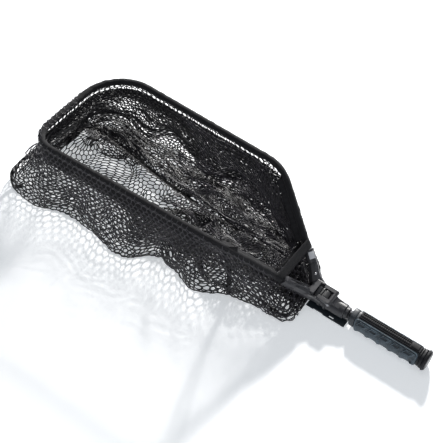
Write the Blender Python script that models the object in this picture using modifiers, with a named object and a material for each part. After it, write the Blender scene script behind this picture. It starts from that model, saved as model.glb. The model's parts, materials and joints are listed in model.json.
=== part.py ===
"""Landing net: raised hoop with a netting bag, a folding hub and a short rubber grip.

Metres, +Z up. The handle runs along +X, the hoop reaches towards -X, and the
bag and the butt of the handle stand on z = 0.
"""
import math

import bmesh
import bpy
from mathutils import Matrix, Vector

# ---------------------------------------------------------------- dimensions
GAP = 0.0003            # clearance between touching pieces
AXIS_Z = 0.022          # height of the handle's centre line

# hoop centre line
TIP_X, TIP_Y, TIP_Z = 0.177, 0.045, AXIS_Z + 0.060
REAR_X, REAR_Y = 0.062, 0.114
FRONT_X, FRONT_Y = -0.386, 0.127
RIM_Z = AXIS_Z + 0.167
REAR_R = 0.080          # bend radius at the rear corners
FRONT_R_FAR = 0.095     # the front bend is wide on the +Y side
FRONT_R_NEAR = 0.045    # and tight on the -Y side
TUBE_R = 0.0046
SLEEVE_IN = 0.00535
SLEEVE_OUT = 0.0067
TUBE_SPLIT_Y = 0.012    # joints of the three tubes, on the front rail
SLEEVE_SPLIT_Y = 0.024

# bag
BAG_T = 0.0018          # thickness of the stand-in for the netting
BAG_INSET = 0.0088      # the bag's edge from the tube's centre line
BAG_RINGS = 7
BULGE_FRONT = 0.1056    # how far the foot of the bag stands out past the front rail
BULGE_SIDE = 0.026      # and past the side rails
BAG_HALF_W = 0.1505
COLLAR_TOP = 0.020      # below the rim
COLLAR_H = 0.034
COLLAR_T = 0.0012
COLLAR_CLEAR = 0.0024   # sideways room between the netting and the band, for the steep front
V_STRAP_Y = 0.0384      # half the length of the strap across the V

# hub stations along X
BARREL_X0, BARREL_X1 = 0.214, 0.2410
NECK_X1 = 0.2490
HUB_END_X = 0.2565
BARREL_R = 0.0150
NECK_R = 0.0120
RING_R = 0.0168
BLOCK_Z0, BLOCK_Z1 = 0.0148, 0.0270     # top block, above the centre line
BLOCK_Y = 0.0190
EAR_Y0, EAR_Y1 = 0.0100, 0.0180
PIN_X, PIN_DZ, PIN_R = 0.2670, 0.0187, 0.0022
EAR_R = 0.0052
SOCKET_BACK = 0.028     # arm socket length behind the tip
SOCKET_W = 0.0195
PRONG_R = 0.0100
PRONG_SWELL = (1.15, 1.25, 1.05, 0.98)   # the prong's radius at its four points, as shares

# handle
FLANGE_X0, FLANGE_X1, FLANGE_R = 0.2570, 0.2605, 0.0180
SOCKET_X1, SOCKET_R = 0.3000, 0.0155
COLLAR_X1, END_COLLAR_R = 0.3075, 0.0128
POLE_R, POLE_BORE = 0.0060, 0.0063
GRIP_X0, GRIP_X1 = 0.3145, 0.4755
CORE_W, CORE_H = 0.0260, 0.0300
CAP_R = 0.0218
CAP_X1 = 0.4840
GROOVES = 5

LATCH_X0, LATCH_X1 = 0.2325, 0.2405
LATCH_Y, LATCH_DZ = 0.0060, 0.0215       # pivot of the latch lever
LATCH_LEN, LATCH_T = 0.0320, 0.0036
LATCH_SLOPE = math.radians(22)
LATCH_RELIEF_R = 0.0038                   # round room in the hub for the lever's tail

SLOTS = {
    "rim_tube": ((0.55, 0.56, 0.58), 0.35, 1.0),
    "sleeve_fabric": ((0.050, 0.050, 0.056), 0.90, 0.0),
    "webbing": ((0.045, 0.045, 0.050), 0.92, 0.0),
    "netting": ((0.020, 0.020, 0.022), 0.70, 0.0),
    "hub_plastic": ((0.115, 0.115, 0.125), 0.45, 0.0),
    "dark_plastic": ((0.035, 0.035, 0.040), 0.50, 0.0),
    "steel": ((0.60, 0.60, 0.62), 0.30, 1.0),
    "grip_black": ((0.030, 0.032, 0.036), 0.65, 0.0),
    "grip_rubber": ((0.085, 0.100, 0.120), 0.70, 0.0),
    "clip_plastic": ((0.080, 0.090, 0.105), 0.55, 0.0),
    "cap_rim": ((0.20, 0.20, 0.22), 0.40, 0.0),
}


# ------------------------------------------------------------------- helpers
def clear_scene():
    for old in list(bpy.data.objects):
        bpy.data.objects.remove(old, do_unlink=True)


def collection(name):
    made = bpy.data.collections.new(name)
    bpy.context.scene.collection.children.link(made)
    return made


def material(name):
    colour, rough, metal = SLOTS[name]
    made = bpy.data.materials.new(name)
    made.use_nodes = True
    shader = made.node_tree.nodes["Principled BSDF"]
    shader.inputs["Base Color"].default_value = (*colour, 1.0)
    shader.inputs["Roughness"].default_value = rough
    shader.inputs["Metallic"].default_value = metal
    made.diffuse_color = (*colour, 1.0)
    return made


def add(name, mesh, slot, where=None):
    """Wrap a mesh as a named object with its own copy of the slot's material."""
    obj = bpy.data.objects.new(name, mesh)
    (where or PARTS).objects.link(obj)
    mesh.materials.clear()
    if slot:
        own = MATERIALS[slot].copy()
        own.name = name + "_mat"
        mesh.materials.append(own)
    return obj


def mesh_from(bm, name):
    bmesh.ops.recalc_face_normals(bm, faces=bm.faces)
    mesh = bpy.data.meshes.new(name)
    bm.to_mesh(mesh)
    bm.free()
    return mesh


def frame_along(start, end):
    """Matrix at the middle of start-end with local Z along it."""
    start, end = Vector(start), Vector(end)
    turn = (end - start).to_track_quat("Z", "Y").to_matrix().to_4x4()
    return Matrix.Translation((start + end) / 2) @ turn


def box_mesh(name, centre, size, bevel=0.0, turn=None):
    bm = bmesh.new()
    bmesh.ops.create_cube(bm, size=1.0)
    bmesh.ops.scale(bm, vec=Vector(size), verts=bm.verts)
    if bevel:
        bmesh.ops.bevel(bm, geom=bm.edges[:], offset=bevel, segments=2, profile=0.5,
                        affect="EDGES")
    place = Matrix.Translation(centre)
    if turn is not None:
        place = place @ turn
    bmesh.ops.transform(bm, matrix=place, verts=bm.verts)
    return mesh_from(bm, name)


def rod_mesh(name, start, end, radius, segments=20, end_radius=None):
    bm = bmesh.new()
    length = (Vector(end) - Vector(start)).length
    bmesh.ops.create_cone(bm, cap_ends=True, segments=segments, radius1=radius,
                          radius2=radius if end_radius is None else end_radius,
                          depth=length)
    bmesh.ops.transform(bm, matrix=frame_along(start, end), verts=bm.verts)
    return mesh_from(bm, name)


def cutter(mesh):
    tool = add(mesh.name, mesh, None, CUTTERS)
    tool.hide_render = True
    tool.display_type = "WIRE"
    return tool


def combine(obj, tool, operation):
    step = obj.modifiers.new(operation.lower(), "BOOLEAN")
    step.operation = operation
    step.solver = "EXACT"
    step.object = tool


def cut(obj, mesh):
    combine(obj, cutter(mesh), "DIFFERENCE")


def join(obj, mesh):
    combine(obj, cutter(mesh), "UNION")


def turned(name, profile, slot, segments=36, closed=False):
    """Turn a profile of (x along the handle, radius) about the handle's centre line."""
    mesh = bpy.data.meshes.new(name)
    points = [(radius, 0.0, x) for x, radius in profile]
    edges = [(i, i + 1) for i in range(len(points) - 1)]
    if closed:
        edges.append((len(points) - 1, 0))
    mesh.from_pydata(points, edges, [])
    obj = add(name, mesh, slot)
    obj.location = (0, 0, AXIS_Z)
    obj.rotation_euler = (0, math.pi / 2, 0)
    spin = obj.modifiers.new("turn", "SCREW")
    spin.axis = "Z"
    spin.angle = math.tau
    spin.screw_offset = 0.0
    spin.steps = segments
    spin.render_steps = segments
    spin.use_merge_vertices = True
    spin.merge_threshold = 0.00002
    return obj


def poly_tube_mesh(name, points, radius, resolution=2, radii=None, caps=True):
    """Mesh of a round bar along a polyline, made with a bevelled curve."""
    data = bpy.data.curves.new(name + "_path", "CURVE")
    data.dimensions = "3D"
    data.bevel_depth = radius
    data.bevel_resolution = resolution
    data.use_fill_caps = caps
    spline = data.splines.new("POLY")
    spline.points.add(len(points) - 1)
    for i, point in enumerate(points):
        spline.points[i].co = (*point, 1.0)
        spline.points[i].radius = radii[i] if radii else 1.0
    temp = bpy.data.objects.new(name + "_path", data)
    bpy.context.scene.collection.objects.link(temp)
    bpy.context.view_layer.update()
    depsgraph = bpy.context.evaluated_depsgraph_get()
    mesh = bpy.data.meshes.new_from_object(temp.evaluated_get(depsgraph))
    bpy.data.objects.remove(temp, do_unlink=True)
    bm = bmesh.new()
    bm.from_mesh(mesh)
    bpy.data.meshes.remove(mesh)
    bmesh.ops.remove_doubles(bm, verts=bm.verts, dist=0.00002)
    return mesh_from(bm, name)


def plate_mesh(name, outline, y0, y1):
    """Extrude a closed (x, z) outline from y0 to y1, with a filled 2D curve."""
    data = bpy.data.curves.new(name + "_outline", "CURVE")
    data.dimensions = "2D"
    data.fill_mode = "BOTH"
    data.extrude = abs(y1 - y0) / 2
    spline = data.splines.new("POLY")
    spline.points.add(len(outline) - 1)
    spline.use_cyclic_u = True
    for i, (x, z) in enumerate(outline):
        spline.points[i].co = (x, z, 0.0, 1.0)
    temp = bpy.data.objects.new(name + "_outline", data)
    bpy.context.scene.collection.objects.link(temp)
    bpy.context.view_layer.update()
    depsgraph = bpy.context.evaluated_depsgraph_get()
    mesh = bpy.data.meshes.new_from_object(temp.evaluated_get(depsgraph))
    bpy.data.objects.remove(temp, do_unlink=True)
    bm = bmesh.new()
    bm.from_mesh(mesh)
    bpy.data.meshes.remove(mesh)
    bmesh.ops.remove_doubles(bm, verts=bm.verts, dist=0.00002)
    stand = Matrix.Translation((0, (y0 + y1) / 2, 0)) @ Matrix.Rotation(math.pi / 2, 4, "X")
    bmesh.ops.transform(bm, matrix=stand, verts=bm.verts)
    return mesh_from(bm, name)


# ----------------------------------------------------------------- hoop path
def rounded(points, radii, steps=9):
    """Polyline with each inner corner replaced by an arc."""
    out = [Vector(points[0])]
    for i in range(1, len(points) - 1):
        back, here, ahead = (Vector(p) for p in points[i - 1:i + 2])
        u = (back - here).normalized()
        v = (ahead - here).normalized()
        inside = u.angle(v)
        radius = radii[i - 1]
        reach = radius / math.tan(inside / 2)
        centre = here + (u + v).normalized() * radius / math.sin(inside / 2)
        first = here + u * reach - centre
        last = here + v * reach - centre
        sweep = math.pi - inside
        for k in range(steps + 1):
            s = k / steps
            a = math.sin((1 - s) * sweep) / math.sin(sweep)
            b = math.sin(s * sweep) / math.sin(sweep)
            out.append(centre + first * a + last * b)
    out.append(Vector(points[-1]))
    return out


def arm_direction(side):
    return (Vector((REAR_X, side * REAR_Y, RIM_Z)) - Vector((TIP_X, side * TIP_Y, TIP_Z))).normalized()


def hoop_path():
    """From the far socket tip round the front to the near socket tip."""
    corners = [(TIP_X, TIP_Y, TIP_Z), (REAR_X, REAR_Y, RIM_Z), (FRONT_X, FRONT_Y, RIM_Z),
               (FRONT_X, -FRONT_Y, RIM_Z), (REAR_X, -REAR_Y, RIM_Z), (TIP_X, -TIP_Y, TIP_Z)]
    return rounded(corners, [REAR_R, FRONT_R_FAR, FRONT_R_NEAR, REAR_R])


def side_path(side, split_y):
    """Half of the hoop: the side's socket tip to the front rail at split_y."""
    path = hoop_path()
    if side < 0:
        path = path[::-1]
    kept = [p for p in path if not (p.x < FRONT_X + 0.001 and side * p.y < split_y)]
    out = []
    for point in kept:
        if side * point.y > 0.0 or point.x > 0:
            out.append(point)
    out = [p for p in out if side * p.y > 0]
    out.append(Vector((FRONT_X, side * split_y, RIM_Z)))
    return out


# -------------------------------------------------------------------- pieces
def make_tubes():
    for side, label in ((1, "far"), (-1, "near")):
        path = side_path(side, TUBE_SPLIT_Y)
        inner = path[0] - arm_direction(side) * (SOCKET_BACK - 0.0045)
        add("rim_tube_" + label, poly_tube_mesh("rim_tube_" + label, [inner] + path[1:], TUBE_R),
            "rim_tube")
        path = side_path(side, SLEEVE_SPLIT_Y)
        start = path[0] + arm_direction(side) * 0.004
        sleeve(("rim_sleeve_" + label), [start] + path[1:])
    y = TUBE_SPLIT_Y - GAP
    add("rim_tube_front",
        poly_tube_mesh("rim_tube_front", [(FRONT_X, y, RIM_Z), (FRONT_X, -y, RIM_Z)], TUBE_R),
        "rim_tube")
    y = SLEEVE_SPLIT_Y - GAP
    sleeve("rim_sleeve_front", [(FRONT_X, y, RIM_Z), (FRONT_X, 0, RIM_Z), (FRONT_X, -y, RIM_Z)])


def sleeve(name, path):
    """Open-ended fabric tube round the metal one."""
    mesh = poly_tube_mesh(name, path, SLEEVE_OUT, caps=False)
    obj = add(name, mesh, "sleeve_fabric")
    wall = obj.modifiers.new("wall", "SOLIDIFY")
    wall.thickness = SLEEVE_OUT - SLEEVE_IN
    wall.offset = -1.0


def bag_edge(inset, count=88):
    """Top edge of the bag, evenly spaced: inside the hoop, closed across the V."""
    path = hoop_path()
    centre = Vector((-0.14, 0, 0))
    edge = []
    for i, point in enumerate(path):
        before = path[max(i - 1, 0)]
        after = path[min(i + 1, len(path) - 1)]
        along = (after - before)
        inward = Vector((-along.y, along.x, 0)).normalized()
        if inward.dot(centre - Vector((point.x, point.y, 0))) < 0:
            inward = -inward
        edge.append(point + inward * inset)
    for index, side in ((0, 1), (-1, -1)):
        edge[index] = edge[index] + arm_direction(side) * 0.030
    return resample(edge, count)


def resample(loop, count):
    """Even steps round a closed loop."""
    closed = loop + [loop[0]]
    lengths = [(closed[i + 1] - closed[i]).length for i in range(len(loop))]
    total = sum(lengths)
    out = []
    piece, walked = 0, 0.0
    for k in range(count):
        target = total * k / count
        while walked + lengths[piece] < target:
            walked += lengths[piece]
            piece += 1
        share = (target - walked) / lengths[piece]
        out.append(closed[piece].lerp(closed[piece + 1], share))
    return out


def smooth(value, low, high):
    share = min(max((value - low) / (high - low), 0.0), 1.0)
    return share * share * (3 - 2 * share)


def bulge_at(point, outward):
    """How far the foot of the bag stands outside its top edge, by place."""
    front = BULGE_FRONT * smooth(-outward.x, 0.2, 0.95)
    flank = BULGE_SIDE * smooth(abs(outward.y), 0.3, 0.9)
    arms = 0.012 * smooth(point.x, 0.02, 0.10) * smooth(abs(point.y), 0.03, 0.06)
    return front + flank + arms


def outward_normals(loop):
    out = []
    count = len(loop)
    for i in range(count):
        along = loop[(i + 2) % count] - loop[i - 2]
        normal = Vector((along.y, -along.x, 0)).normalized()
        if normal.dot(Vector((loop[i].x + 0.14, loop[i].y * 3, 0))) < 0:
            normal = -normal
        out.append(normal)
    return out


def bag_rings():
    """Loops of the bag's skin from the top edge to the turned-in lip on the floor."""
    edge = bag_edge(BAG_INSET)
    normals = outward_normals(edge)
    feet = [edge[i] + normals[i] * bulge_at(edge[i], normals[i]) for i in range(len(edge))]
    low = BAG_T / 2
    round_r = 0.020
    rings = []
    for k in range(BAG_RINGS + 1):
        t = k / BAG_RINGS
        spread = t * t * (3 - 2 * t)
        ring = []
        for i, top in enumerate(edge):
            spot = top.lerp(feet[i], spread)
            spot.y = min(max(spot.y, -BAG_HALF_W), BAG_HALF_W)
            spot.z = top.z + (low + round_r - top.z) * t
            ring.append(spot)
        rings.append(ring)
    for step in (1, 2, 3):
        angle = step * math.pi / 6
        ring = []
        for i in range(len(edge)):
            spot = feet[i] - normals[i] * round_r * (1 - math.cos(angle))
            reach = BAG_HALF_W - round_r * (1 - math.cos(angle))
            spot.y = min(max(spot.y, -reach), reach)
            spot.z = low + round_r * (1 - math.sin(angle))
            ring.append(spot)
        rings.append(ring)
    return rings


def loop_edges(bm, points):
    verts = [bm.verts.new(p) for p in points]
    return [bm.edges.new((verts[i - 1], verts[i])) for i in range(len(verts))]


def skin_mesh(name, rings):
    """Bridge a stack of closed loops into one open sheet."""
    bm = bmesh.new()
    loops = [loop_edges(bm, ring) for ring in rings]
    for first, second in zip(loops, loops[1:]):
        bmesh.ops.bridge_loops(bm, edges=first + second)
    return mesh_from(bm, name)


def thicken(obj, thickness, offset):
    wall = obj.modifiers.new("wall", "SOLIDIFY")
    wall.thickness = thickness
    wall.offset = offset
    wall.use_even_offset = False


def make_bag():
    rings = bag_rings()
    bag = add("net_wall", skin_mesh("net_wall", rings), "netting")
    thicken(bag, BAG_T, 0.0)
    lip = [p.copy() for p in rings[-1]]
    normals = outward_normals(lip)
    outline = [p - n * 0.0020 for p, n in zip(lip, normals)]
    bm = bmesh.new()
    verts = [bm.verts.new((p.x, p.y, 0.0)) for p in outline]
    base = bm.faces.new(verts)
    grown = bmesh.ops.extrude_face_region(bm, geom=[base])
    tops = [g for g in grown["geom"] if isinstance(g, bmesh.types.BMVert)]
    bmesh.ops.translate(bm, vec=(0, 0, BAG_T), verts=tops)
    add("net_floor", mesh_from(bm, "net_floor"), "netting")


def on_wall(rings, i, drop):
    """Point on the bag's side, a given drop below its top edge, in column i."""
    z = rings[0][i].z - drop
    for upper, lower in zip(rings, rings[1:]):
        if lower[i].z <= z:
            share = (upper[i].z - z) / (upper[i].z - lower[i].z)
            return upper[i].lerp(lower[i], share)
    return rings[-1][i].copy()


def make_collar():
    """Woven band round the outside of the netting."""
    rings = bag_rings()
    normals = outward_normals(rings[0])
    stand = (BAG_T + COLLAR_T) / 2 + COLLAR_CLEAR
    loops = []
    for drop in (COLLAR_TOP, COLLAR_TOP + COLLAR_H / 2, COLLAR_TOP + COLLAR_H):
        loops.append([on_wall(rings, i, drop) + normals[i] * stand for i in range(len(normals))])
    band = add("collar_band", skin_mesh("collar_band", loops), "webbing")
    thicken(band, COLLAR_T, 0.0)


def make_v_strap():
    """Strap across the V, just in front of the arm sockets and in the arms' slope."""
    rise = arm_direction(1)
    slope = Vector((rise.x, 0, rise.z)).normalized()
    centre = Vector((TIP_X, 0, TIP_Z)) + slope * 0.0135
    turn = Matrix.Rotation(math.atan2(slope.x, slope.z), 4, "Y")
    strap = box_mesh("v_strap", centre, (0.0020, 2 * V_STRAP_Y, 0.0165), 0.0007, turn)
    add("v_strap", strap, "webbing")


def prong_path(side):
    tip = Vector((TIP_X, side * TIP_Y, TIP_Z))
    end = tip - arm_direction(side) * (SOCKET_BACK + GAP)
    near_end = tip - arm_direction(side) * (SOCKET_BACK + 0.008)
    return [Vector((0.2310, side * 0.0060, AXIS_Z + 0.004)),
            Vector((0.2190, side * 0.0140, AXIS_Z + 0.0145)), near_end, end]


def make_hub():
    hub = add("hub_body", rod_mesh("hub_body", (BARREL_X0, 0, AXIS_Z),
                                   (BARREL_X1, 0, AXIS_Z), BARREL_R, 32), "hub_plastic")
    join(hub, rod_mesh("hub_neck", (BARREL_X1 - 0.004, 0, AXIS_Z),
                       (NECK_X1 + 0.003, 0, AXIS_Z), NECK_R, 32))
    join(hub, rod_mesh("hub_end", (NECK_X1, 0, AXIS_Z), (HUB_END_X, 0, AXIS_Z), BARREL_R, 32))
    middle = AXIS_Z + (BLOCK_Z0 + BLOCK_Z1) / 2 - 0.004
    join(hub, box_mesh("hub_block", (0.2290, 0, middle),
                       (0.0240, 2 * BLOCK_Y, BLOCK_Z1 - BLOCK_Z0 + 0.008), 0.0030))
    for side in (1, -1):
        label = "far" if side > 0 else "near"
        prong = poly_tube_mesh("hub_prong_" + label, prong_path(side), PRONG_R, 2, PRONG_SWELL)
        join(hub, prong)
        join(hub, ear_mesh("hub_ear_" + label, side))
    ring_room = [(BARREL_X1 + 0.0001, NECK_R + 0.00005), (NECK_X1 - 0.0001, NECK_R + 0.00005)]
    room = rod_mesh("ring_room", (ring_room[0][0], 0, AXIS_Z), (ring_room[1][0], 0, AXIS_Z),
                    RING_R + 0.0004, 40)
    clear = cutter(room)
    core = cutter(rod_mesh("ring_core", (BARREL_X1 - 0.002, 0, AXIS_Z),
                           (NECK_X1 + 0.002, 0, AXIS_Z), NECK_R, 32))
    combine(clear, core, "DIFFERENCE")
    combine(hub, clear, "DIFFERENCE")
    cut_hub(hub)


def ear_mesh(name, side):
    """Strap from the top block over the lock ring to the hinge pin."""
    z0, z1 = AXIS_Z + PIN_DZ - EAR_R, AXIS_Z + PIN_DZ + EAR_R
    outline = [(0.2350, z0 + 0.002), (0.2350, z1), (PIN_X, z1)]
    for k in range(1, 8):
        angle = math.pi / 2 - k * math.pi / 8
        outline.append((PIN_X + EAR_R * math.cos(angle),
                        AXIS_Z + PIN_DZ + EAR_R * math.sin(angle)))
    outline += [(PIN_X, z0), (PIN_X - 0.006, z0), (PIN_X - 0.009, z0 + 0.0030),
                (0.2400, z0 + 0.0030)]
    return plate_mesh(name, outline, side * EAR_Y0, side * EAR_Y1)


def latch_frame():
    """Latch lever's own frame: local -Y runs down the lever from its pivot."""
    spot = Matrix.Translation((0, LATCH_Y, AXIS_Z + LATCH_DZ))
    return spot @ Matrix.Rotation(LATCH_SLOPE, 4, "X")


def cut_hub(hub):
    mid = (LATCH_X0 + LATCH_X1) / 2
    width = LATCH_X1 - LATCH_X0
    turn = latch_frame()
    slot_c = turn @ Vector((mid, -0.0175, 0.0070))
    rotation = Matrix.Rotation(LATCH_SLOPE, 4, "X")
    cut(hub, box_mesh("latch_slot", slot_c, (width + 0.0008, 0.0440, 0.0190), 0.0, rotation))
    cut(hub, box_mesh("hub_window", (mid, 0.0095, AXIS_Z + BLOCK_Z1 - 0.0020),
                      (width + 0.0008, 0.0080, 0.0090)))
    pivot = (LATCH_Y, AXIS_Z + LATCH_DZ)
    cut(hub, rod_mesh("latch_relief", (LATCH_X0 - 0.0004, *pivot), (LATCH_X1 + 0.0004, *pivot),
                      LATCH_RELIEF_R, 24))
    cut(hub, rod_mesh("latch_bore", (LATCH_X0 - 0.0040, *pivot), (LATCH_X1 + 0.0040, *pivot),
                      0.00145, 20))
    cut(hub, rod_mesh("ear_bore", (PIN_X, -0.03, AXIS_Z + PIN_DZ),
                      (PIN_X, 0.03, AXIS_Z + PIN_DZ), PIN_R + 0.00012, 24))
    cut(hub, box_mesh("crotch_notch", (BARREL_X0, 0, AXIS_Z + 0.021), (0.010, 0.010, 0.020), 0.002))


def make_arm_sockets():
    for side, label in ((1, "far"), (-1, "near")):
        tip = Vector((TIP_X, side * TIP_Y, TIP_Z))
        back = tip - arm_direction(side) * SOCKET_BACK
        place = frame_along(back, tip)
        length = SOCKET_BACK
        bm = bmesh.new()
        bmesh.ops.create_cube(bm, size=1.0)
        bmesh.ops.scale(bm, vec=Vector((SOCKET_W, SOCKET_W, length)), verts=bm.verts)
        rails = [e for e in bm.edges if abs((e.verts[0].co - e.verts[1].co).z) > length / 2]
        bmesh.ops.bevel(bm, geom=rails, offset=0.0045, segments=2, profile=0.5, affect="EDGES")
        rims = [e for e in bm.edges if abs((e.verts[0].co - e.verts[1].co).z) < 0.0001]
        bmesh.ops.bevel(bm, geom=rims, offset=0.0010, segments=1, profile=0.5, affect="EDGES")
        bmesh.ops.transform(bm, matrix=place, verts=bm.verts)
        socket = add("arm_socket_" + label, mesh_from(bm, "arm_socket_" + label), "hub_plastic")
        start = back + arm_direction(side) * 0.0040
        end = tip + arm_direction(side) * 0.005
        cut(socket, rod_mesh("socket_bore_" + label, start, end, TUBE_R + 0.0006, 24))


def make_braces():
    """Short rods inside the V, from the arm sockets to the front of the barrel."""
    for side, label in ((1, "far"), (-1, "near")):
        ball = Vector((BARREL_X0 - 0.0046, side * 0.0085, AXIS_Z + 0.002))
        top = Vector((0.1790, side * 0.0265, AXIS_Z + 0.0330))
        way = (top - ball).normalized()
        mid = ball + way * 0.0270
        rod = rod_mesh("brace_rod_" + label, ball, mid - way * GAP, 0.0028, 14)
        bm = bmesh.new()
        bmesh.ops.create_uvsphere(bm, u_segments=14, v_segments=8, radius=0.0042)
        bmesh.ops.translate(bm, vec=ball, verts=bm.verts)
        obj = add("brace_rod_" + label, rod, "hub_plastic")
        join(obj, mesh_from(bm, "brace_ball_" + label))
        add("brace_sleeve_" + label,
            rod_mesh("brace_sleeve_" + label, mid, top, 0.0042, 16), "hub_plastic")


def make_screws():
    for side, label in ((1, "far"), (-1, "near")):
        points = prong_path(side)
        way = (points[2] - points[1]).normalized()
        up = (Vector((0, 0, 1)) - way * way.z).normalized()
        spot = points[1].lerp(points[2], 0.60)
        swell = 0.4 * PRONG_SWELL[1] + 0.6 * PRONG_SWELL[2]
        start = spot + up * (PRONG_R * swell + 0.0004)
        add("hub_screw_" + label,
            rod_mesh("hub_screw_" + label, start, start + up * 0.0013, 0.0026, 18, 0.0021),
            "steel")


def make_latch():
    turn = latch_frame()
    mid = (LATCH_X0 + LATCH_X1) / 2
    width = LATCH_X1 - LATCH_X0
    rotation = Matrix.Rotation(LATCH_SLOPE, 4, "X")
    centre = turn @ Vector((mid, -LATCH_LEN / 2 + 0.0025, 0.0))
    lever = add("latch_lever",
                box_mesh("latch_lever", centre, (width, LATCH_LEN, LATCH_T), 0.0011, rotation),
                "hub_plastic")
    hole = turn @ Vector((mid, -LATCH_LEN + 0.0065, 0.0))
    up = rotation @ Vector((0, 0, 1))
    cut(lever, rod_mesh("lever_hole", hole - up * 0.004, hole + up * 0.004, 0.0017, 20))
    pivot = (LATCH_Y, AXIS_Z + LATCH_DZ)
    cut(lever, rod_mesh("lever_bore", (LATCH_X0 - 0.002, *pivot), (LATCH_X1 + 0.002, *pivot),
                        0.00125, 20))
    add("latch_pin", rod_mesh("latch_pin", (LATCH_X0 - 0.0036, *pivot),
                              (LATCH_X1 + 0.0036, *pivot), 0.00118, 20), "steel")


def make_lock_ring():
    x0, x1 = BARREL_X1 + 0.0004, NECK_X1 - 0.0004
    bore = NECK_R + GAP
    profile = [(x1, bore), (x1, RING_R - 0.0008), (x1 - 0.0008, RING_R),
               (x0 + 0.0008, RING_R), (x0, RING_R - 0.0008), (x0, bore)]
    turned("lock_ring", profile, "dark_plastic", 40, closed=True)


def make_hinge_pin():
    z = AXIS_Z + PIN_DZ
    pin = add("hinge_pin", rod_mesh("hinge_pin", (PIN_X, -EAR_Y1 - 0.0004, z),
                                    (PIN_X, EAR_Y1 + 0.0004, z), PIN_R, 24), "steel")
    for side in (1, -1):
        label = "far" if side > 0 else "near"
        y0 = side * (EAR_Y1 + 0.0003)
        y1 = side * (EAR_Y1 + 0.0016)
        join(pin, rod_mesh("pin_head_" + label, (PIN_X, y0, z), (PIN_X, y1, z), 0.0036, 20, 0.0031))


def make_pole_socket():
    profile = [(FLANGE_X0, 0.0), (FLANGE_X0, FLANGE_R - 0.0006), (FLANGE_X0 + 0.0006, FLANGE_R),
               (FLANGE_X1 - 0.0006, FLANGE_R), (FLANGE_X1, FLANGE_R - 0.0006),
               (FLANGE_X1, SOCKET_R), (SOCKET_X1 - 0.0012, SOCKET_R),
               (SOCKET_X1, SOCKET_R - 0.0012), (SOCKET_X1, 0.0)]
    socket = turned("pole_socket", profile[::-1], "hub_plastic", 36)
    tops = box_mesh("flange_top_flat", (0.2585, 0, AXIS_Z + 0.0220), (0.0060, 0.05, 0.0200))
    feet = box_mesh("flange_bottom_flat", (0.2585, 0, AXIS_Z - 0.0262), (0.0060, 0.05, 0.0180))
    for tool in (tops, feet):
        cut(socket, tool)
    z = AXIS_Z + PIN_DZ
    outline = [(0.2577, AXIS_Z + 0.0090), (0.2577, z - 0.0040)]
    for k in range(0, 9):
        angle = math.pi - k * math.pi / 8
        outline.append((PIN_X + EAR_R * math.cos(angle), z + EAR_R * math.sin(angle)))
    outline += [(0.2780, AXIS_Z + 0.0160), (0.2880, AXIS_Z + 0.0140), (0.2880, AXIS_Z + 0.0090)]
    join(socket, plate_mesh("socket_lug", outline, -0.0096, 0.0096))
    cut(socket, rod_mesh("lug_bore", (PIN_X, -0.02, z), (PIN_X, 0.02, z), PIN_R + 0.00012, 24))
    cut(socket, rod_mesh("pole_bore", (0.2632, 0, AXIS_Z), (SOCKET_X1 + 0.004, 0, AXIS_Z),
                         POLE_BORE, 28))


def make_end_collar():
    x0, x1 = SOCKET_X1 + GAP, COLLAR_X1
    profile = [(x1, POLE_BORE), (x1, END_COLLAR_R - 0.0012), (x1 - 0.0012, END_COLLAR_R),
               (x0 + 0.0004, END_COLLAR_R), (x0, END_COLLAR_R - 0.0004), (x0, POLE_BORE)]
    turned("socket_end_collar", profile, "hub_plastic", 36, closed=True)


def make_clip():
    z0, z1 = AXIS_Z - 0.0208, AXIS_Z - 0.0178
    clip = add("belt_clip", box_mesh("belt_clip", (0.2660, 0, (z0 + z1) / 2),
                                     (0.0880, 0.0430, z1 - z0), 0.0009), "clip_plastic")
    pad = box_mesh("clip_pad", (0.2830, 0, AXIS_Z - 0.0175), (0.0240, 0.0130, 0.0032))
    join(clip, pad)
    for side in (1, -1):
        label = "far" if side > 0 else "near"
        cut(clip, box_mesh("clip_slot_" + label, (0.2790, side * 0.0165, (z0 + z1) / 2),
                           (0.0110, 0.0036, 0.0080)))
        cut(clip, box_mesh("clip_step_" + label, (0.2500, side * 0.0235, (z0 + z1) / 2),
                           (0.0220, 0.0080, 0.0080)))


def make_pole():
    add("inner_pole", rod_mesh("inner_pole", (0.2640, 0, AXIS_Z), (0.3350, 0, AXIS_Z), POLE_R, 28),
        "rim_tube")
    x0, x1 = COLLAR_X1 + GAP, GRIP_X0 - GAP
    profile = [(x1, POLE_BORE), (x1, 0.0105), (x1 - 0.0020, 0.0105), (x1 - 0.0024, 0.0088),
               (x0 + 0.0014, 0.0088), (x0 + 0.0010, 0.0098), (x0, 0.0098), (x0, POLE_BORE)]
    turned("neck_ferrule", profile, "steel", 32, closed=True)


def make_grip():
    mid_x = (GRIP_X0 + GRIP_X1) / 2
    length = GRIP_X1 - GRIP_X0
    bm = bmesh.new()
    bmesh.ops.create_cube(bm, size=1.0)
    bmesh.ops.scale(bm, vec=Vector((length, CORE_W, CORE_H)), verts=bm.verts)
    bmesh.ops.bevel(bm, geom=bm.edges[:], offset=0.0030, segments=2, profile=0.5, affect="EDGES")
    bmesh.ops.translate(bm, vec=(mid_x, 0, AXIS_Z), verts=bm.verts)
    core = add("grip_core", mesh_from(bm, "grip_core"), "grip_black")
    cut(core, rod_mesh("core_bore", (GRIP_X0 - 0.004, 0, AXIS_Z), (0.3356, 0, AXIS_Z),
                       POLE_BORE, 28))
    for side, label in ((1, "far"), (-1, "near")):
        make_side_panel(side, label)
    make_top_strip()
    make_underside()


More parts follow.
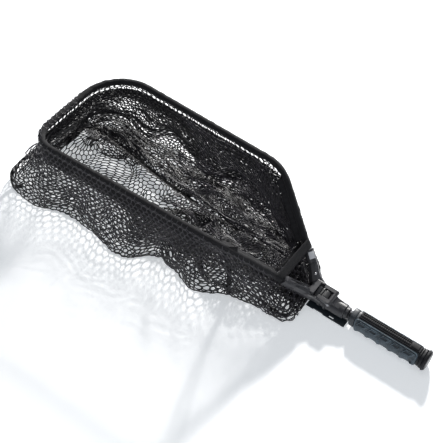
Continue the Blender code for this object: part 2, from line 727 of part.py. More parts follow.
def make_side_panel(side, label):
    """Rubber side panel with a raised border's worth of thickness and five mouldings."""
    y0 = CORE_W / 2 + GAP
    thick = 0.0048
    centre_x = (GRIP_X0 + GRIP_X1) / 2
    centre = (centre_x, side * (y0 + thick / 2), AXIS_Z + 0.0005)
    panel = add("grip_panel_" + label,
                box_mesh("grip_panel_" + label, centre, (0.1540, thick, 0.0250), 0.0020),
                "grip_rubber")
    for i in range(GROOVES):
        x = GRIP_X0 + 0.0300 + i * 0.0252
        outline = [(x - 0.0085, AXIS_Z - 0.0070), (x + 0.0050, AXIS_Z - 0.0070),
                   (x + 0.0085, AXIS_Z + 0.0075), (x - 0.0050, AXIS_Z + 0.0075)]
        low = side * (y0 + thick - 0.0010)
        high = side * (y0 + thick + 0.0010)
        join(panel, plate_mesh("moulding_%s_%d" % (label, i), outline, low, high))


def make_top_strip():
    z0 = AXIS_Z + CORE_H / 2 + GAP
    x0, x1 = GRIP_X0 + 0.004, GRIP_X1 - 0.002
    outline = [(x0, z0), (x0, z0 + 0.0028)]
    ribs = 20
    pitch = (x1 - x0 - 0.016) / ribs
    for i in range(ribs):
        x = x0 + 0.008 + i * pitch
        outline += [(x, z0 + 0.0040), (x + pitch * 0.60, z0 + 0.0040),
                    (x + pitch * 0.70, z0 + 0.0030), (x + pitch * 0.92, z0 + 0.0030)]
    outline += [(x1, z0 + 0.0028), (x1, z0)]
    add("grip_top_strip", plate_mesh("grip_top_strip", outline, -0.0105, 0.0105), "grip_black")


def make_underside():
    """Finger-grooved rubber along the bottom of the grip."""
    z0 = AXIS_Z - CORE_H / 2 - GAP
    x0, x1 = GRIP_X0 + 0.004, GRIP_X1 - 0.002
    outline = [(x1, z0), (x0, z0), (x0, z0 - 0.0040)]
    steps = 50
    for k in range(1, steps):
        x = x0 + (x1 - x0) * k / steps
        phase = (x - GRIP_X0 - 0.0170) / 0.0252
        crest = 0.5 + 0.5 * math.cos(math.tau * phase)
        outline.append((x, z0 - 0.0028 - 0.0028 * crest))
    outline.append((x1, z0 - 0.0040))
    under = add("grip_underside", plate_mesh("grip_underside", outline, -0.0110, 0.0110),
                "grip_rubber")
    cut(under, rod_mesh("lanyard_hole", (0.4640, -0.02, z0 - 0.0024), (0.4640, 0.02, z0 - 0.0024),
                        0.0011, 16))


def make_end_cap():
    x0 = GRIP_X1 + GAP
    profile = [(x0, 0.0), (x0, 0.0196), (x0 + 0.0014, CAP_R - 0.0004), (x0 + 0.0022, CAP_R),
               (x0 + 0.0040, CAP_R), (x0 + 0.0048, 0.0205), (CAP_X1 - 0.0018, 0.0200),
               (CAP_X1 - 0.0012, 0.0192), (CAP_X1 - 0.0012, 0.0172), (CAP_X1 - 0.0024, 0.0172),
               (CAP_X1 - 0.0024, 0.0)]
    turned("end_cap", profile[::-1], "grip_black", 44)
    x0, x1 = CAP_X1 - 0.0024 + GAP, CAP_X1
    profile = [(x0, 0.0), (x0, 0.0168), (x1 - 0.0005, 0.0168), (x1, 0.0160), (x1, 0.0)]
    turned("end_cap_disc", profile[::-1], "cap_rim", 40)


def main():
    make_tubes()
    make_bag()
    make_collar()
    make_v_strap()
    make_hub()
    make_arm_sockets()
    make_braces()
    make_screws()
    make_latch()
    make_lock_ring()
    make_hinge_pin()
    make_pole_socket()
    make_end_collar()
    make_clip()
    make_pole()
    make_grip()
    make_end_cap()


clear_scene()
PARTS = collection("landing_net")
CUTTERS = collection("cutters")
MATERIALS = {slot: material(slot) for slot in SLOTS}
main()
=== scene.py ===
"""Landing net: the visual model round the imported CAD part, with camera, lights and materials."""
import json
import math

import bmesh
import bpy
import numpy as np
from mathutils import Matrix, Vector


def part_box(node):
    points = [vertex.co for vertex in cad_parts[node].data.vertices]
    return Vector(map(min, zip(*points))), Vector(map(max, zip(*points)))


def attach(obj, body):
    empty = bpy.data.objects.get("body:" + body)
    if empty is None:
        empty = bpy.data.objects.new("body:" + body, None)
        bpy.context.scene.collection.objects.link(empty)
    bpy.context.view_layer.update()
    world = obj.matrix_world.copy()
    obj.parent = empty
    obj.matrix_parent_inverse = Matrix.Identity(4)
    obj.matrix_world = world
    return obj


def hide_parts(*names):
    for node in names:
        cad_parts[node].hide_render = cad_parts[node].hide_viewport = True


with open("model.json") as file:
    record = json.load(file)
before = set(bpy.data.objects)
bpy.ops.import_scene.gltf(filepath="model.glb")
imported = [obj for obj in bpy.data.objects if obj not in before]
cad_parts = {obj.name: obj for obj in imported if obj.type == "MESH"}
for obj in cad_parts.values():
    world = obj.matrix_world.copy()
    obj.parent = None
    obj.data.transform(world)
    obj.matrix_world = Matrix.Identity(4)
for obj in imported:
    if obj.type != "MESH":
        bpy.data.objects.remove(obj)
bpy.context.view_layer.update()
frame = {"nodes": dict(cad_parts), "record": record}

NODES = frame["nodes"]

# ------------------------------------------------------------ the frame's own measures
front_lo, front_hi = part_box("rim_sleeve_front")
RIM_Z = (front_lo.z + front_hi.z) / 2
FRONT_X = (front_lo.x + front_hi.x) / 2
SLEEVE_R = (front_hi.z - front_lo.z) / 2
barrel_lo, barrel_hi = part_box("lock_ring")
AXIS_Z = (barrel_lo.z + barrel_hi.z) / 2
TIP = Vector((FRONT_X + 0.563, 0.045, RIM_Z - 0.107))
REAR = Vector((FRONT_X + 0.448, 0.114, RIM_Z))
FRONT = Vector((FRONT_X, 0.127, RIM_Z))
BENDS = (0.080, 0.095, 0.045, 0.080)


def rounded(points, radii, steps=14):
    """Polyline with each inner corner replaced by an arc."""
    out = [Vector(points[0])]
    for i in range(1, len(points) - 1):
        back, here, ahead = (Vector(p) for p in points[i - 1:i + 2])
        u = (back - here).normalized()
        v = (ahead - here).normalized()
        inside = u.angle(v)
        reach = radii[i - 1] / math.tan(inside / 2)
        centre = here + (u + v).normalized() * radii[i - 1] / math.sin(inside / 2)
        first = here + u * reach - centre
        last = here + v * reach - centre
        sweep = math.pi - inside
        for k in range(steps + 1):
            s = k / steps
            out.append(centre + first * (math.sin((1 - s) * sweep) / math.sin(sweep))
                       + last * (math.sin(s * sweep) / math.sin(sweep)))
    out.append(Vector(points[-1]))
    return out


SIDE_NAME = {1: "far", -1: "near"}


def mirror(point):
    return Vector((point.x, -point.y, point.z))


def arm_tip(side):
    """End of one arm: side is 1 for the far arm and -1 for the near one."""
    return TIP if side > 0 else mirror(TIP)


def hoop_path():
    """Hoop centre line, from the far socket round the front to the near socket."""
    corners = [TIP, REAR, FRONT, mirror(FRONT), mirror(REAR), mirror(TIP)]
    return rounded(corners, BENDS)


def arm_direction(side):
    """Along one arm, from its tip up to the hoop's rear corner."""
    way = (REAR - TIP).normalized()
    return way if side > 0 else mirror(way)


def unit(vectors):
    return vectors / np.maximum(np.linalg.norm(vectors, axis=-1, keepdims=True), 1e-12)


def square_to(vectors, tangent):
    """Unit vectors: the given ones, less their part along the tangents."""
    return unit(vectors - tangent * np.sum(vectors * tangent, axis=-1, keepdims=True))


def smooth(value, low, high):
    """0 below low, 1 above high and an even slope between."""
    share = np.clip((value - low) / (high - low), 0.0, 1.0)
    return share * share * (3 - 2 * share)


def fall(value, low, high):
    """1 below low, 0 above high."""
    return 1 - smooth(value, low, high)


def walk(points, closed=False):
    """Cumulative length along an (n, 3) array of points."""
    pts = np.vstack([points, points[:1]]) if closed else points
    return np.concatenate([[0.0], np.cumsum(np.linalg.norm(np.diff(pts, axis=0), axis=1))])


def along(points, where, closed=False):
    """Points at the given lengths along a polyline."""
    pts = np.vstack([points, points[:1]]) if closed else points
    run = walk(points, closed)
    return np.stack([np.interp(where, run, pts[:, k]) for k in range(3)], axis=-1)


def noise(u, v, seed, octaves=3, base=1):
    """Smooth periodic ripple field of u and v, both 0 to 1, about -1 to 1."""
    rng = np.random.default_rng(seed)
    total = np.zeros(np.broadcast(u, v).shape)
    weight = 0.0
    for octave in range(octaves):
        for _ in range(4):
            fu = rng.integers(1, 4) * base * 2 ** octave * rng.choice([-1, 1])
            fv = rng.uniform(0.5, 2.5) * 2 ** octave
            phase = rng.uniform(0, math.tau)
            total += np.sin(math.tau * (fu * u + fv * v) + phase) / 2 ** octave
            weight += 0.5 / 2 ** octave
    return total / weight


def add_object(name, mesh, material, smoothed=True):
    mesh.materials.append(material)
    if smoothed:
        mesh.shade_smooth()
    obj = bpy.data.objects.new(name, mesh)
    bpy.context.scene.collection.objects.link(obj)
    return obj


def quad_mesh(name, verts, quads, material, uv):
    """Mesh of four-sided faces only, with a UV point for each vertex."""
    quads = np.asarray(quads, np.int32)
    mesh = bpy.data.meshes.new(name)
    mesh.vertices.add(len(verts))
    mesh.vertices.foreach_set("co", np.asarray(verts, np.float32).ravel())
    mesh.loops.add(quads.size)
    mesh.loops.foreach_set("vertex_index", quads.ravel())
    mesh.polygons.add(len(quads))
    mesh.polygons.foreach_set("loop_start", np.arange(0, quads.size, 4, dtype=np.int32))
    mesh.polygons.foreach_set("loop_total", np.full(len(quads), 4, np.int32))
    mesh.update(calc_edges=True)
    mesh.validate()
    layer = mesh.uv_layers.new(name="UVMap")
    layer.data.foreach_set("uv", np.asarray(uv, np.float32)[quads.ravel()].ravel())
    return add_object(name, mesh, material)


def skin(rows, count, closed=False, flip=False):
    """Four-sided faces between neighbouring rings of count points."""
    faces = []
    for i in range(rows if closed else rows - 1):
        j = (i + 1) % rows
        for k in range(count):
            k2 = (k + 1) % count
            face = (i * count + k, i * count + k2, j * count + k2, j * count + k)
            faces.append(face[:1] + face[:0:-1] if flip else face)
    return faces


# --------------------------------------------------------------------------- materials
class Graph:
    """Small helper for node materials."""

    def __init__(self, name, colour, rough, metal=0.0, specular=0.5):
        self.colour = colour
        self.material = bpy.data.materials.new(name)
        self.material.use_nodes = True
        self.tree = self.material.node_tree
        self.shader = self.tree.nodes["Principled BSDF"]
        for socket, value in (("Base Color", (*colour, 1.0)), ("Roughness", rough), ("Metallic", metal),
                              ("Specular IOR Level", specular)):
            self.shader.inputs[socket].default_value = value

    def node(self, kind, **values):
        """New node: each value goes to the input of that name, or else to the property."""
        made = self.tree.nodes.new(kind)
        for key, value in values.items():
            if key in made.inputs:
                made.inputs[key].default_value = value
            else:
                setattr(made, key, value)
        return made

    def link(self, a, b):
        self.tree.links.new(a, b)

    def set(self, socket, value):
        self.link(value, self.shader.inputs[socket])

    def coords(self, which="Object", scale=(1, 1, 1)):
        mapping = self.node("ShaderNodeMapping", Scale=scale)
        self.link(self.node("ShaderNodeTexCoord").outputs[which], mapping.inputs["Vector"])
        return mapping.outputs["Vector"]

    def split(self, vector):
        parts = self.node("ShaderNodeSeparateXYZ")
        self.link(vector, parts.inputs["Vector"])
        return parts.outputs["X"], parts.outputs["Y"]

    def grain(self, vector, scale, detail):
        made = self.node("ShaderNodeTexNoise", Scale=scale, Detail=detail, Roughness=0.6)
        self.link(vector, made.inputs["Vector"])
        return made.outputs["Fac"]

    def math(self, op, *values):
        made = self.node("ShaderNodeMath", operation=op)
        for slot, value in enumerate(values):
            if isinstance(value, (int, float)):
                made.inputs[slot].default_value = value
            else:
                self.link(value, made.inputs[slot])
        return made.outputs["Value"]

    def plus(self, a, b):
        return self.math("ADD", a, b)

    def times(self, a, b):
        return self.math("MULTIPLY", a, b)

    def bump(self, height, distance, strength, normal=None):
        made = self.node("ShaderNodeBump", Distance=distance, Strength=strength)
        self.link(height, made.inputs["Height"])
        if normal is not None:
            self.link(normal, made.inputs["Normal"])
        self.set("Normal", made.outputs["Normal"])

    def soft_edges(self, radius):
        return self.node("ShaderNodeBevel", samples=4, Radius=radius).outputs["Normal"]

    def tint(self, value, *stops):
        """Base colour from a value: each stop is a place and how many times the plain colour."""
        made = self.node("ShaderNodeValToRGB")
        elements = made.color_ramp.elements
        elements[0].position, elements[1].position = stops[0][0], stops[-1][0]
        for place, _ in stops[1:-1]:
            elements.new(place)
        for element, (_, factor) in zip(elements, stops):
            element.color = (*(min(c * factor, 1.0) for c in self.colour), 1)
        self.link(value, made.inputs["Fac"])
        self.set("Base Color", made.outputs["Color"])


def moulded(name, colour, rough, grain_scale=900.0, grain_depth=0.00008, specular=0.5, painted_relief_shading=0.0):
    """Moulded plastic or rubber: fine texture, soft edges, slight blotches; the relief setting paints shade
    into hollows and light onto edges.
    """
    g = Graph(name, colour, rough, 0.0, specular)
    vector = g.coords()
    blotch = g.grain(vector, 45.0, 4.0)
    fine = g.grain(vector, grain_scale, 2.0)
    mix = g.plus(g.times(blotch, 0.8), g.times(fine, 0.2))
    # with relief, Pointiness is added to the tone over a wider colour range: painted shade in hollows,
    # painted highlight on edges
    dark, light = (0.35, 2.0) if painted_relief_shading else (0.82, 1.22)
    if painted_relief_shading:
        point = g.node("ShaderNodeNewGeometry").outputs["Pointiness"]
        mix = g.plus(mix, g.times(g.math("SUBTRACT", point, 0.5), painted_relief_shading))
    g.tint(mix, (0.30, dark), (0.55, 1.0), (0.75, light))
    g.set("Roughness", g.plus(g.times(blotch, 0.22), rough - 0.11))
    g.bump(fine, grain_depth, 0.6, g.soft_edges(0.0006))
    return g.material


def woven(name, colour, warp, weft, depth, rough, sheen):
    """Woven cloth on a UV map in metres: warp and weft threads with fuzz."""
    g = Graph(name, colour, rough, 0.0, 0.3)
    g.shader.inputs["Sheen Weight"].default_value = sheen
    g.shader.inputs["Sheen Roughness"].default_value = 0.45
    vector = g.coords("UV")
    x, y = g.split(vector)
    a = g.math("SINE", g.times(x, math.tau / warp))
    b = g.math("SINE", g.times(y, math.tau / weft))
    fuzz = g.grain(vector, 1400.0, 3.0)
    ribs = g.plus(g.times(g.math("ABSOLUTE", b), 0.3), g.times(fuzz, 0.5))
    height = g.plus(g.times(g.times(a, b), 0.5), ribs)
    patch = g.grain(vector, 22.0, 4.0)
    # colour follows the weave's height as well as uneven patches: painted shade between the threads and
    # painted light on their tops
    g.tint(g.plus(g.times(patch, 0.6), g.times(height, 0.22)), (0.15, 0.55), (0.42, 1.0), (0.75, 1.7))
    g.bump(height, depth, 0.8)
    return g.material


def twine_material(name, colour):
    """Coated black twine: thin gloss along the strand and slight twist marks."""
    g = Graph(name, colour, 0.34, 0.0, 0.55)
    x, y = g.split(g.coords("UV"))
    lay = g.plus(g.times(x, 1.0 / TWIST), y)
    twist = g.math("ABSOLUTE", g.math("SINE", g.times(lay, math.tau)))
    patch = g.grain(g.coords(), 60.0, 3.0)
    g.tint(patch, (0.30, 0.6), (0.55, 1.0), (0.80, 2.0))
    g.set("Roughness", g.plus(g.times(patch, 0.3), 0.20))
    g.bump(twist, 0.00012, 0.6)
    return g.material


def metal(name, colour, rough):
    """Satin metal with fine brushed lines."""
    g = Graph(name, colour, rough, 1.0)
    lines = g.grain(g.coords("Object", (1.0, 12.0, 12.0)), 600.0, 3.0)
    g.tint(lines, (0.3, 0.8), (0.7, 1.1))
    g.set("Roughness", g.plus(g.times(lines, 0.25), rough - 0.10))
    g.bump(lines, 0.00003, 0.5, g.soft_edges(0.0004))
    return g.material


TWIST = 0.0022            # length of twine for one turn of its strands
TWINE = twine_material("netting_twine", (0.0062, 0.0056, 0.0082))
# lighter copy of the twine for the outer and upper layers: painted light
TWINE_LIT = twine_material("netting_twine_painted_light", (0.0240, 0.0225, 0.0290))
# darker copy of the twine for the deep slack: painted shade
TWINE_SHADED = twine_material("netting_twine_painted_shade", (0.0030, 0.0026, 0.0042))
SLEEVE = woven("sleeve_weave", (0.0125, 0.0125, 0.0145), 0.0009, 0.0009, 0.00022, 0.8, 0.06)
WEBBING = woven("webbing_weave", (0.0080, 0.0080, 0.0100), 0.0014, 0.0022, 0.00035, 0.85, 0.04)
HUB = moulded("hub_nylon", (0.040, 0.040, 0.045), 0.34)
DARK = moulded("dark_nylon", (0.016, 0.017, 0.019), 0.45)
GRIP = moulded("grip_black_rubber", (0.0095, 0.0100, 0.0125), 0.50, 700.0, 0.00012, specular=0.22)
# the grip's rubber side takes painted shade in its hollows and painted highlight on its edges from
# Pointiness
PANEL = moulded("grip_panel_rubber", (0.050, 0.070, 0.088), 0.46, 700.0, 0.00012, specular=0.45, painted_relief_shading=4.0)
# darker copy of the grip panel rubber for the dishes of the mouldings: painted shade in the hollows
RECESS_SHADE = moulded("grip_panel_painted_recess_shade", (0.018, 0.025, 0.032), 0.50, 700.0, 0.00012, specular=0.3)
COLLAR = moulded("grip_collar_rubber", (0.036, 0.042, 0.050), 0.42, 700.0, 0.00010, specular=0.4)
# pale plate on the far socket's top: painted highlight, where light glints off that face
PAINTED_HIGHLIGHT = moulded("socket_painted_highlight", (0.60, 0.61, 0.64), 0.36, 700.0, 0.00004)
CLIP = moulded("clip_nylon", (0.022, 0.031, 0.040), 0.40)
CAP = moulded("cap_rim_nylon", (0.060, 0.062, 0.068), 0.40)
STEEL = metal("steel_satin", (0.42, 0.42, 0.44), 0.32)
TUBE = metal("tube_anodised", (0.030, 0.031, 0.035), 0.35)
DARK_STEEL = metal("steel_blackened", (0.050, 0.051, 0.056), 0.34)

SLOT_MATERIAL = {"rim_tube": TUBE, "sleeve_fabric": SLEEVE, "webbing": WEBBING, "netting": TWINE,
                 "hub_plastic": HUB, "dark_plastic": DARK, "steel": STEEL, "grip_black": GRIP,
                 "grip_rubber": PANEL, "clip_plastic": CLIP, "cap_rim": CAP}
SLOT_OF = {part["node"]: part["material_slot"] for part in frame["record"]["subparts"]}
for node_name, node_obj in NODES.items():
    finish = SLOT_MATERIAL[SLOT_OF[node_name]]
    slots = node_obj.data.materials
    for i in range(len(slots)):
        slots[i] = finish
    if not slots:
        slots.append(finish)
NODES["neck_ferrule"].data.materials[0] = DARK_STEEL

# --------------------------------------------------------------------------- the bag's shape
HOOP = np.array([tuple(p) for p in hoop_path()])
EDGE_INSET = 0.0030      # the netting's top edge from the hoop's centre line
EDGE_DROP = 0.0062
ARM_STOP = 0.030         # the bag ends this far up each arm
GROUND = 0.0016          # lowest height of the bag's own surface
BAG_MIDDLE = np.array((-0.14, 0.0, 0.0))

# foot of the bag on the ground, from the middle of the front round the near side to the back
FOOT_NEAR = [(-0.478, 0.010), (-0.486, -0.040), (-0.490, -0.090), (-0.480, -0.130),
             (-0.456, -0.153), (-0.420, -0.162), (-0.390, -0.160), (-0.366, -0.148),
             (-0.335, -0.143), (-0.305, -0.138), (-0.268, -0.141), (-0.238, -0.138),
             (-0.205, -0.150), (-0.172, -0.157), (-0.145, -0.150), (-0.120, -0.125),
             (-0.096, -0.111), (-0.072, -0.103), (-0.040, -0.115), (-0.012, -0.126),
             (0.012, -0.127), (0.036, -0.117), (0.060, -0.107), (0.082, -0.096),
             (0.106, -0.088), (0.128, -0.078), (0.155, -0.077), (0.184, -0.080),
             (0.206, -0.072), (0.216, -0.045), (0.217, -0.010)]
FOOT_FAR = [(-0.470, 0.055), (-0.468, 0.100), (-0.450, 0.138), (-0.415, 0.152),
            (-0.370, 0.146), (-0.325, 0.138), (-0.280, 0.147), (-0.230, 0.155),
            (-0.185, 0.146), (-0.140, 0.132), (-0.095, 0.140), (-0.045, 0.150),
            (0.000, 0.138), (0.040, 0.122), (0.075, 0.112), (0.110, 0.096),
            (0.140, 0.080), (0.168, 0.070), (0.195, 0.050), (0.212, 0.022)]
SEAM_FRONT = np.array((-0.452, 0.080, 0.012))
SEAM_REAR = np.array((0.196, 0.022, 0.020))
NEAR_STOPS = (4, 22)      # foot points under the near front and near rear corners
FAR_STOPS = (5, 16)       # and under the far rear and far front corners, counted from the back
CHORD_X = (0.000, 0.118)  # the webbing and the wall run straight between these, past the rear corners
COLS, ROWS = 300, 96      # of the bag's even grid
FINE = 160                # rows of the wall and of the floor, before they are made even


def level_normals(tangent, points):
    """Level unit vectors square to the tangents, pointing away from the bag's middle."""
    normal = unit(np.stack([tangent[:, 1], -tangent[:, 0], np.zeros(len(points))], axis=1))
    return normal * np.sign(np.sum(normal * (points - BAG_MIDDLE), axis=1))[:, None]


def nearest(points, x, y):
    return int(np.argmin(np.hypot(points[:, 0] - x, points[:, 1] - y)))


def bag_top():
    """Closed top edge of the bag from the middle of the front, near side first."""
    path = HOOP.copy()
    path[0] += np.array(arm_direction(1)) * ARM_STOP
    path[-1] += np.array(arm_direction(-1)) * ARM_STOP
    edge = path - level_normals(np.gradient(path, axis=0), path) * EDGE_INSET
    edge[:, 2] -= EDGE_DROP
    near = edge[edge[:, 1] < 0]
    far = edge[edge[:, 1] > 0]
    start = np.array([[FRONT_X + EDGE_INSET, 0.0, RIM_Z - EDGE_DROP]])
    back = np.array([[near[-1][0] + 0.004, 0.0, near[-1][2] - 0.006]])
    return np.vstack([start, near, back, far])


def smooth_loop(points, rounds):
    for _ in range(rounds):
        points = (np.roll(points, 1, 0) + 2 * points + np.roll(points, -1, 0)) / 4
    return points


def bag_feet(top, u):
    """Foot of each column, with the corners of the foot under those of the top edge."""
    run = walk(top, True)
    total = run[-1]
    near_rear = int(np.argmin(np.abs(top[:, 0] - REAR.x) + np.where(top[:, 1] < 0, 0, 9)))
    near_corner = nearest(top, FRONT_X + 0.01, -0.117)
    back = len(top[top[:, 1] < 0]) + 1
    far_rear = nearest(top, REAR.x, REAR.y)
    far_corner = nearest(top, FRONT_X + 0.028, 0.099)
    top_marks = [0.0, *run[[near_corner, near_rear, back, far_rear, far_corner]], total]
    foot = np.array([(x, y, 0.0) for x, y in FOOT_NEAR + FOOT_FAR[::-1]])
    foot_run = walk(foot, True)
    far_start = len(FOOT_NEAR)
    stops = [*NEAR_STOPS, far_start - 1, *(far_start + stop for stop in FAR_STOPS)]
    foot_marks = [0.0, *foot_run[stops], foot_run[-1]]
    return smooth_loop(along(foot, np.interp(u * total, top_marks, foot_marks), True), 2)


def bag_seam(u):
    """Point of the bottom seam that each column runs to."""
    share = np.where(u < 0.5, 2 * u, 2 * (1 - u))
    seam = SEAM_FRONT + (SEAM_REAR - SEAM_FRONT) * share[:, None]
    seam[:, 1] += 0.008 * np.sin(share * 9.0)
    seam[:, 2] += 0.006 * np.sin(share * 13.0 + 1.0)
    return seam


def bag_wall(u, edge, feet, normal):
    """Rows of points from the hoop, spreading down to the foot."""
    t = np.linspace(0, 1, FINE)
    chord = edge.copy()      # the top edge with a straight run past each rear corner
    for side in (1, -1):
        inside = np.where((edge[:, 1] * side > 0.02) & (edge[:, 0] > CHORD_X[0])
                          & (edge[:, 0] < CHORD_X[1]))[0]
        chord[inside] = np.linspace(edge[inside[0]], edge[inside[-1]], len(inside))
    wall = edge[:, None] + (feet - edge)[:, None] * (0.30 * t + 0.70 * smooth(t, 0.12, 0.95))[:, None]
    wall[:, :, 2] = edge[:, 2:] * (1 - t) + GROUND * t
    pull = smooth(t, 0.02, 0.16) * fall(t, 0.35, 0.8)
    wall[:, :, :2] += (chord - edge)[:, None, :2] * pull[:, None]
    hang = smooth(t, 0.22, 0.55) * (1 - smooth(t, 0.92, 1.0) * 0.5)
    pleats = np.sin(math.tau * 17 * u + 2.2 * noise(u, t * 0.3, 5, 2))
    fold = 0.0075 * (pleats + noise(u, t, 11, 3, 2)) * hang
    wall += normal[:, None] * fold[:, :, None]
    wall[:, :, 2] += 0.004 * noise(u, t, 23, 3, 3) * hang * (1 - t)
    return wall


def bag_floor(u, edge, feet, seam):
    """Rows of points from the foot in to the seam, with the slack folded over itself."""
    s = np.linspace(0, 1, FINE)
    near_rear = smooth(edge[:, :1], -0.20, -0.02)
    amount = 0.07 + 0.26 * near_rear + 0.04 * noise(u, 0.3, 31, 2, 2)
    phase = 1.6 * noise(u, 0.2, 41, 2)
    wave = np.sin(2 * math.tau * s + phase) - np.sin(phase)
    share = s + amount * 0.5 * wave * smooth(s, 0, 0.15) * fall(s, 0.85, 1.0)
    floor = feet[:, None] + (seam - feet)[:, None] * share[:, :, None]
    rumple = (0.010 + 0.014 * near_rear) * (0.5 + 0.5 * noise(u, s, 53, 3, 3))
    lift = 0.004 + 0.018 * s + rumple * smooth(s, 0.0, 0.25)
    height = np.maximum(GROUND, lift * smooth(s, -0.05, 0.12))
    sewn = smooth(s, 0.93, 1.0)
    floor[:, :, 2] = height * (1 - sewn) + seam[:, 2:] * sewn
    floor[:, :, 0] += 0.012 * noise(u, s, 61, 2, 3) * smooth(s, 0, 0.2) * fall(s, 0.8, 1.0)
    return floor


def bag_grid():
    """Columns of points down from the hoop, out to the foot and in to the bottom seam."""
    top = bag_top()
    u = np.arange(COLS) / COLS
    edge = along(top, u * walk(top, True)[-1], True)
    normal = level_normals(np.roll(edge, -2, 0) - np.roll(edge, 2, 0), edge)
    feet = bag_feet(top, u)
    wall = bag_wall(u[:, None], edge, feet, normal)
    floor = bag_floor(u[:, None], edge, feet, bag_seam(u))
    return np.concatenate([wall, floor[:, 1:]], axis=1), edge, normal


GRID, TOP_EDGE, TOP_NORMAL = bag_grid()
DEPTH = np.array([walk(column)[-1] for column in GRID])
EVEN = np.array([along(column, np.linspace(0, deep, ROWS)) for column, deep in zip(GRID, DEPTH)])


# --------------------------------------------------------------------------- the netting
CELL = 0.0116             # across the flats of one six-sided mesh
TWINE_R = 0.00121
TWINE_SIDES = 4
STRAY = 0.0021            # how far the knots stray from an even pattern
GIRTH = 1.42              # mean way round the bag


def surface_normals():
    """Outward normals of the bag, on the same columns and rows as EVEN."""
    du = np.roll(EVEN, -2, 0) - np.roll(EVEN, 2, 0)
    dv = np.gradient(EVEN, axis=1)
    normal = unit(np.cross(dv, du))
    if np.mean(np.sum(normal[:, 8] * TOP_NORMAL, axis=1)) < 0:
        normal = -normal
    return unit(smooth_loop(normal, 3))


NORMALS = surface_normals()
CALM = smooth_loop(EVEN, 14)      # the bag with its ripples smoothed away


def read_grid(grid, u, v):
    """Points of a grid at shares u of the way round and lengths v down, and the depth there."""
    x = (u % 1.0) * COLS
    i = np.floor(x).astype(int) % COLS
    i2 = (i + 1) % COLS
    fx = x - np.floor(x)
    depth = DEPTH[i] * (1 - fx) + DEPTH[i2] * fx
    y = np.clip(v / depth, 0, 0.99999) * (ROWS - 1)
    j = np.floor(y).astype(int)
    fx, fy = fx[:, None], (y - j)[:, None]
    a = grid[i, j] * (1 - fy) + grid[i, j + 1] * fy
    b = grid[i2, j] * (1 - fy) + grid[i2, j + 1] * fy
    return a * (1 - fx) + b * fx, depth


def main_layer(u, v):
    """The bag itself, down to its bottom seam."""
    points, depth = read_grid(EVEN, u, v)
    return points, v <= depth


OUTER_DEPTH = 0.215
WRAP = 0.026              # length of the outer netting that goes over the sleeve


def outer_layer(u, v):
    """Second thickness of netting: over the sleeve on the near side, outside the webbing, down the wall."""
    far = smooth(u, 0.50, 0.52) * fall(u, 0.97, 0.99)
    down = np.maximum(v - WRAP, 0.0)
    points, _ = read_grid(EVEN, u, down)
    normal, _ = read_grid(NORMALS, u, np.minimum(down, 0.12))
    flat = TOP_NORMAL[np.floor((u % 1.0) * COLS).astype(int) % COLS]
    normal[:, 2] *= 0.3
    belly = smooth(down, 0.03, 0.10) * (1 + noise(u, down * 5, 107, 3, 5))
    out = 0.0052 + 0.0034 * (smooth(down, 0.0, 0.02) + belly)
    points = points + normal * out[:, None]
    rumple = smooth(down, 0.05, 0.12) * fall(down, 0.17, 0.20)
    points[:, 2] += 0.005 * noise(u, down * 4, 109, 2, 4) * rumple
    # over the sleeve
    middle = read_grid(EVEN, u, np.zeros_like(v))[0] + flat * EDGE_INSET
    middle[:, 2] += EDGE_DROP
    turn = np.radians(165 - 195 * np.clip(v / WRAP, 0, 1))
    around = middle + (flat * np.cos(turn)[:, None]
                       + np.array((0, 0, 1.0)) * np.sin(turn)[:, None]) * (SLEEVE_R + 0.0013)
    over = fall(v, WRAP * 0.80, WRAP * 1.35)[:, None]
    points = around * over + points * (1 - over)
    points[:, 2] = np.maximum(points[:, 2], GROUND)
    front = fall(np.minimum(u, 1 - u), 0.04, 0.14)
    rear = smooth(u, SLACK_NEAR - 0.02, SLACK_NEAR + 0.05) * fall(u, SLACK_FAR - 0.05, SLACK_FAR + 0.02)
    limit = WRAP + 0.135 - 0.050 * front - 0.030 * far * (1 - rear) + 0.050 * rear * far
    limit = limit + 0.012 * noise(u, 0.4, 113, 2, 6)
    start = np.where(far > 0.5, WRAP * 1.05, WRAP * 0.50 * smooth(u, 0.06, 0.09))
    return points, (v <= limit) & (v >= start)


def slack_layer(left, right, pulls, seed):
    """Slack netting folded inside the bag: t runs once over it, or there and back for two pulls."""
    def surface(t, v):
        v = v + 0.010
        there = (t < 0.5) | (len(pulls) == 1)
        share = t if len(pulls) == 1 else np.where(there, 2 * t, 2 * (1 - t))
        first = left + 0.030 * noise(v * 1.3, 0.2, seed, 2, 2) + 0.03 * smooth(v, 0.1, 0.3)
        last = right + 0.034 * noise(v * 1.3, 0.7, seed + 1, 2, 2) - 0.02 * smooth(v, 0.1, 0.3)
        u = first + (last - first) * share
        turn = smooth(share, 0.93, 1.0) * (pulls[-1] - pulls[0]) / 2
        pull = np.where(there, pulls[0] + turn, pulls[-1] - turn)
        ripple = np.where(there, noise(share, v * 2.0, seed + 2, 2, 2),
                          noise(share, v * 2.0, seed + 3, 2, 3))
        pull = pull * (1 + 0.36 * ripple) * (0.25 + 0.75 * smooth(v, 0.0, 0.09))
        points, depth = read_grid(CALM, u, v)
        core = np.stack([np.clip(points[:, 0], -0.2, 0.06) - 0.004, np.full(len(u), 0.012),
                         np.clip(points[:, 2], 0.085, 0.17)], axis=1)
        points = points + (core - points) * pull[:, None]
        points[:, 2] += 0.004 * ripple * smooth(v, 0.05, 0.15)
        points[:, 2] = np.maximum(points[:, 2], 0.0030)
        x, y, z = points.T
        low = ((y < -0.045) & (z < 0.075) & (x > 0.0)) | ((y < -0.075) & (z < 0.055))
        return points, (v <= depth * 0.99) & ~low
    return surface


GATHER_AT = np.array((-0.368, 0.078, 0.004))
GATHER_GIRTH, GATHER_DEEP = 0.30, 0.20


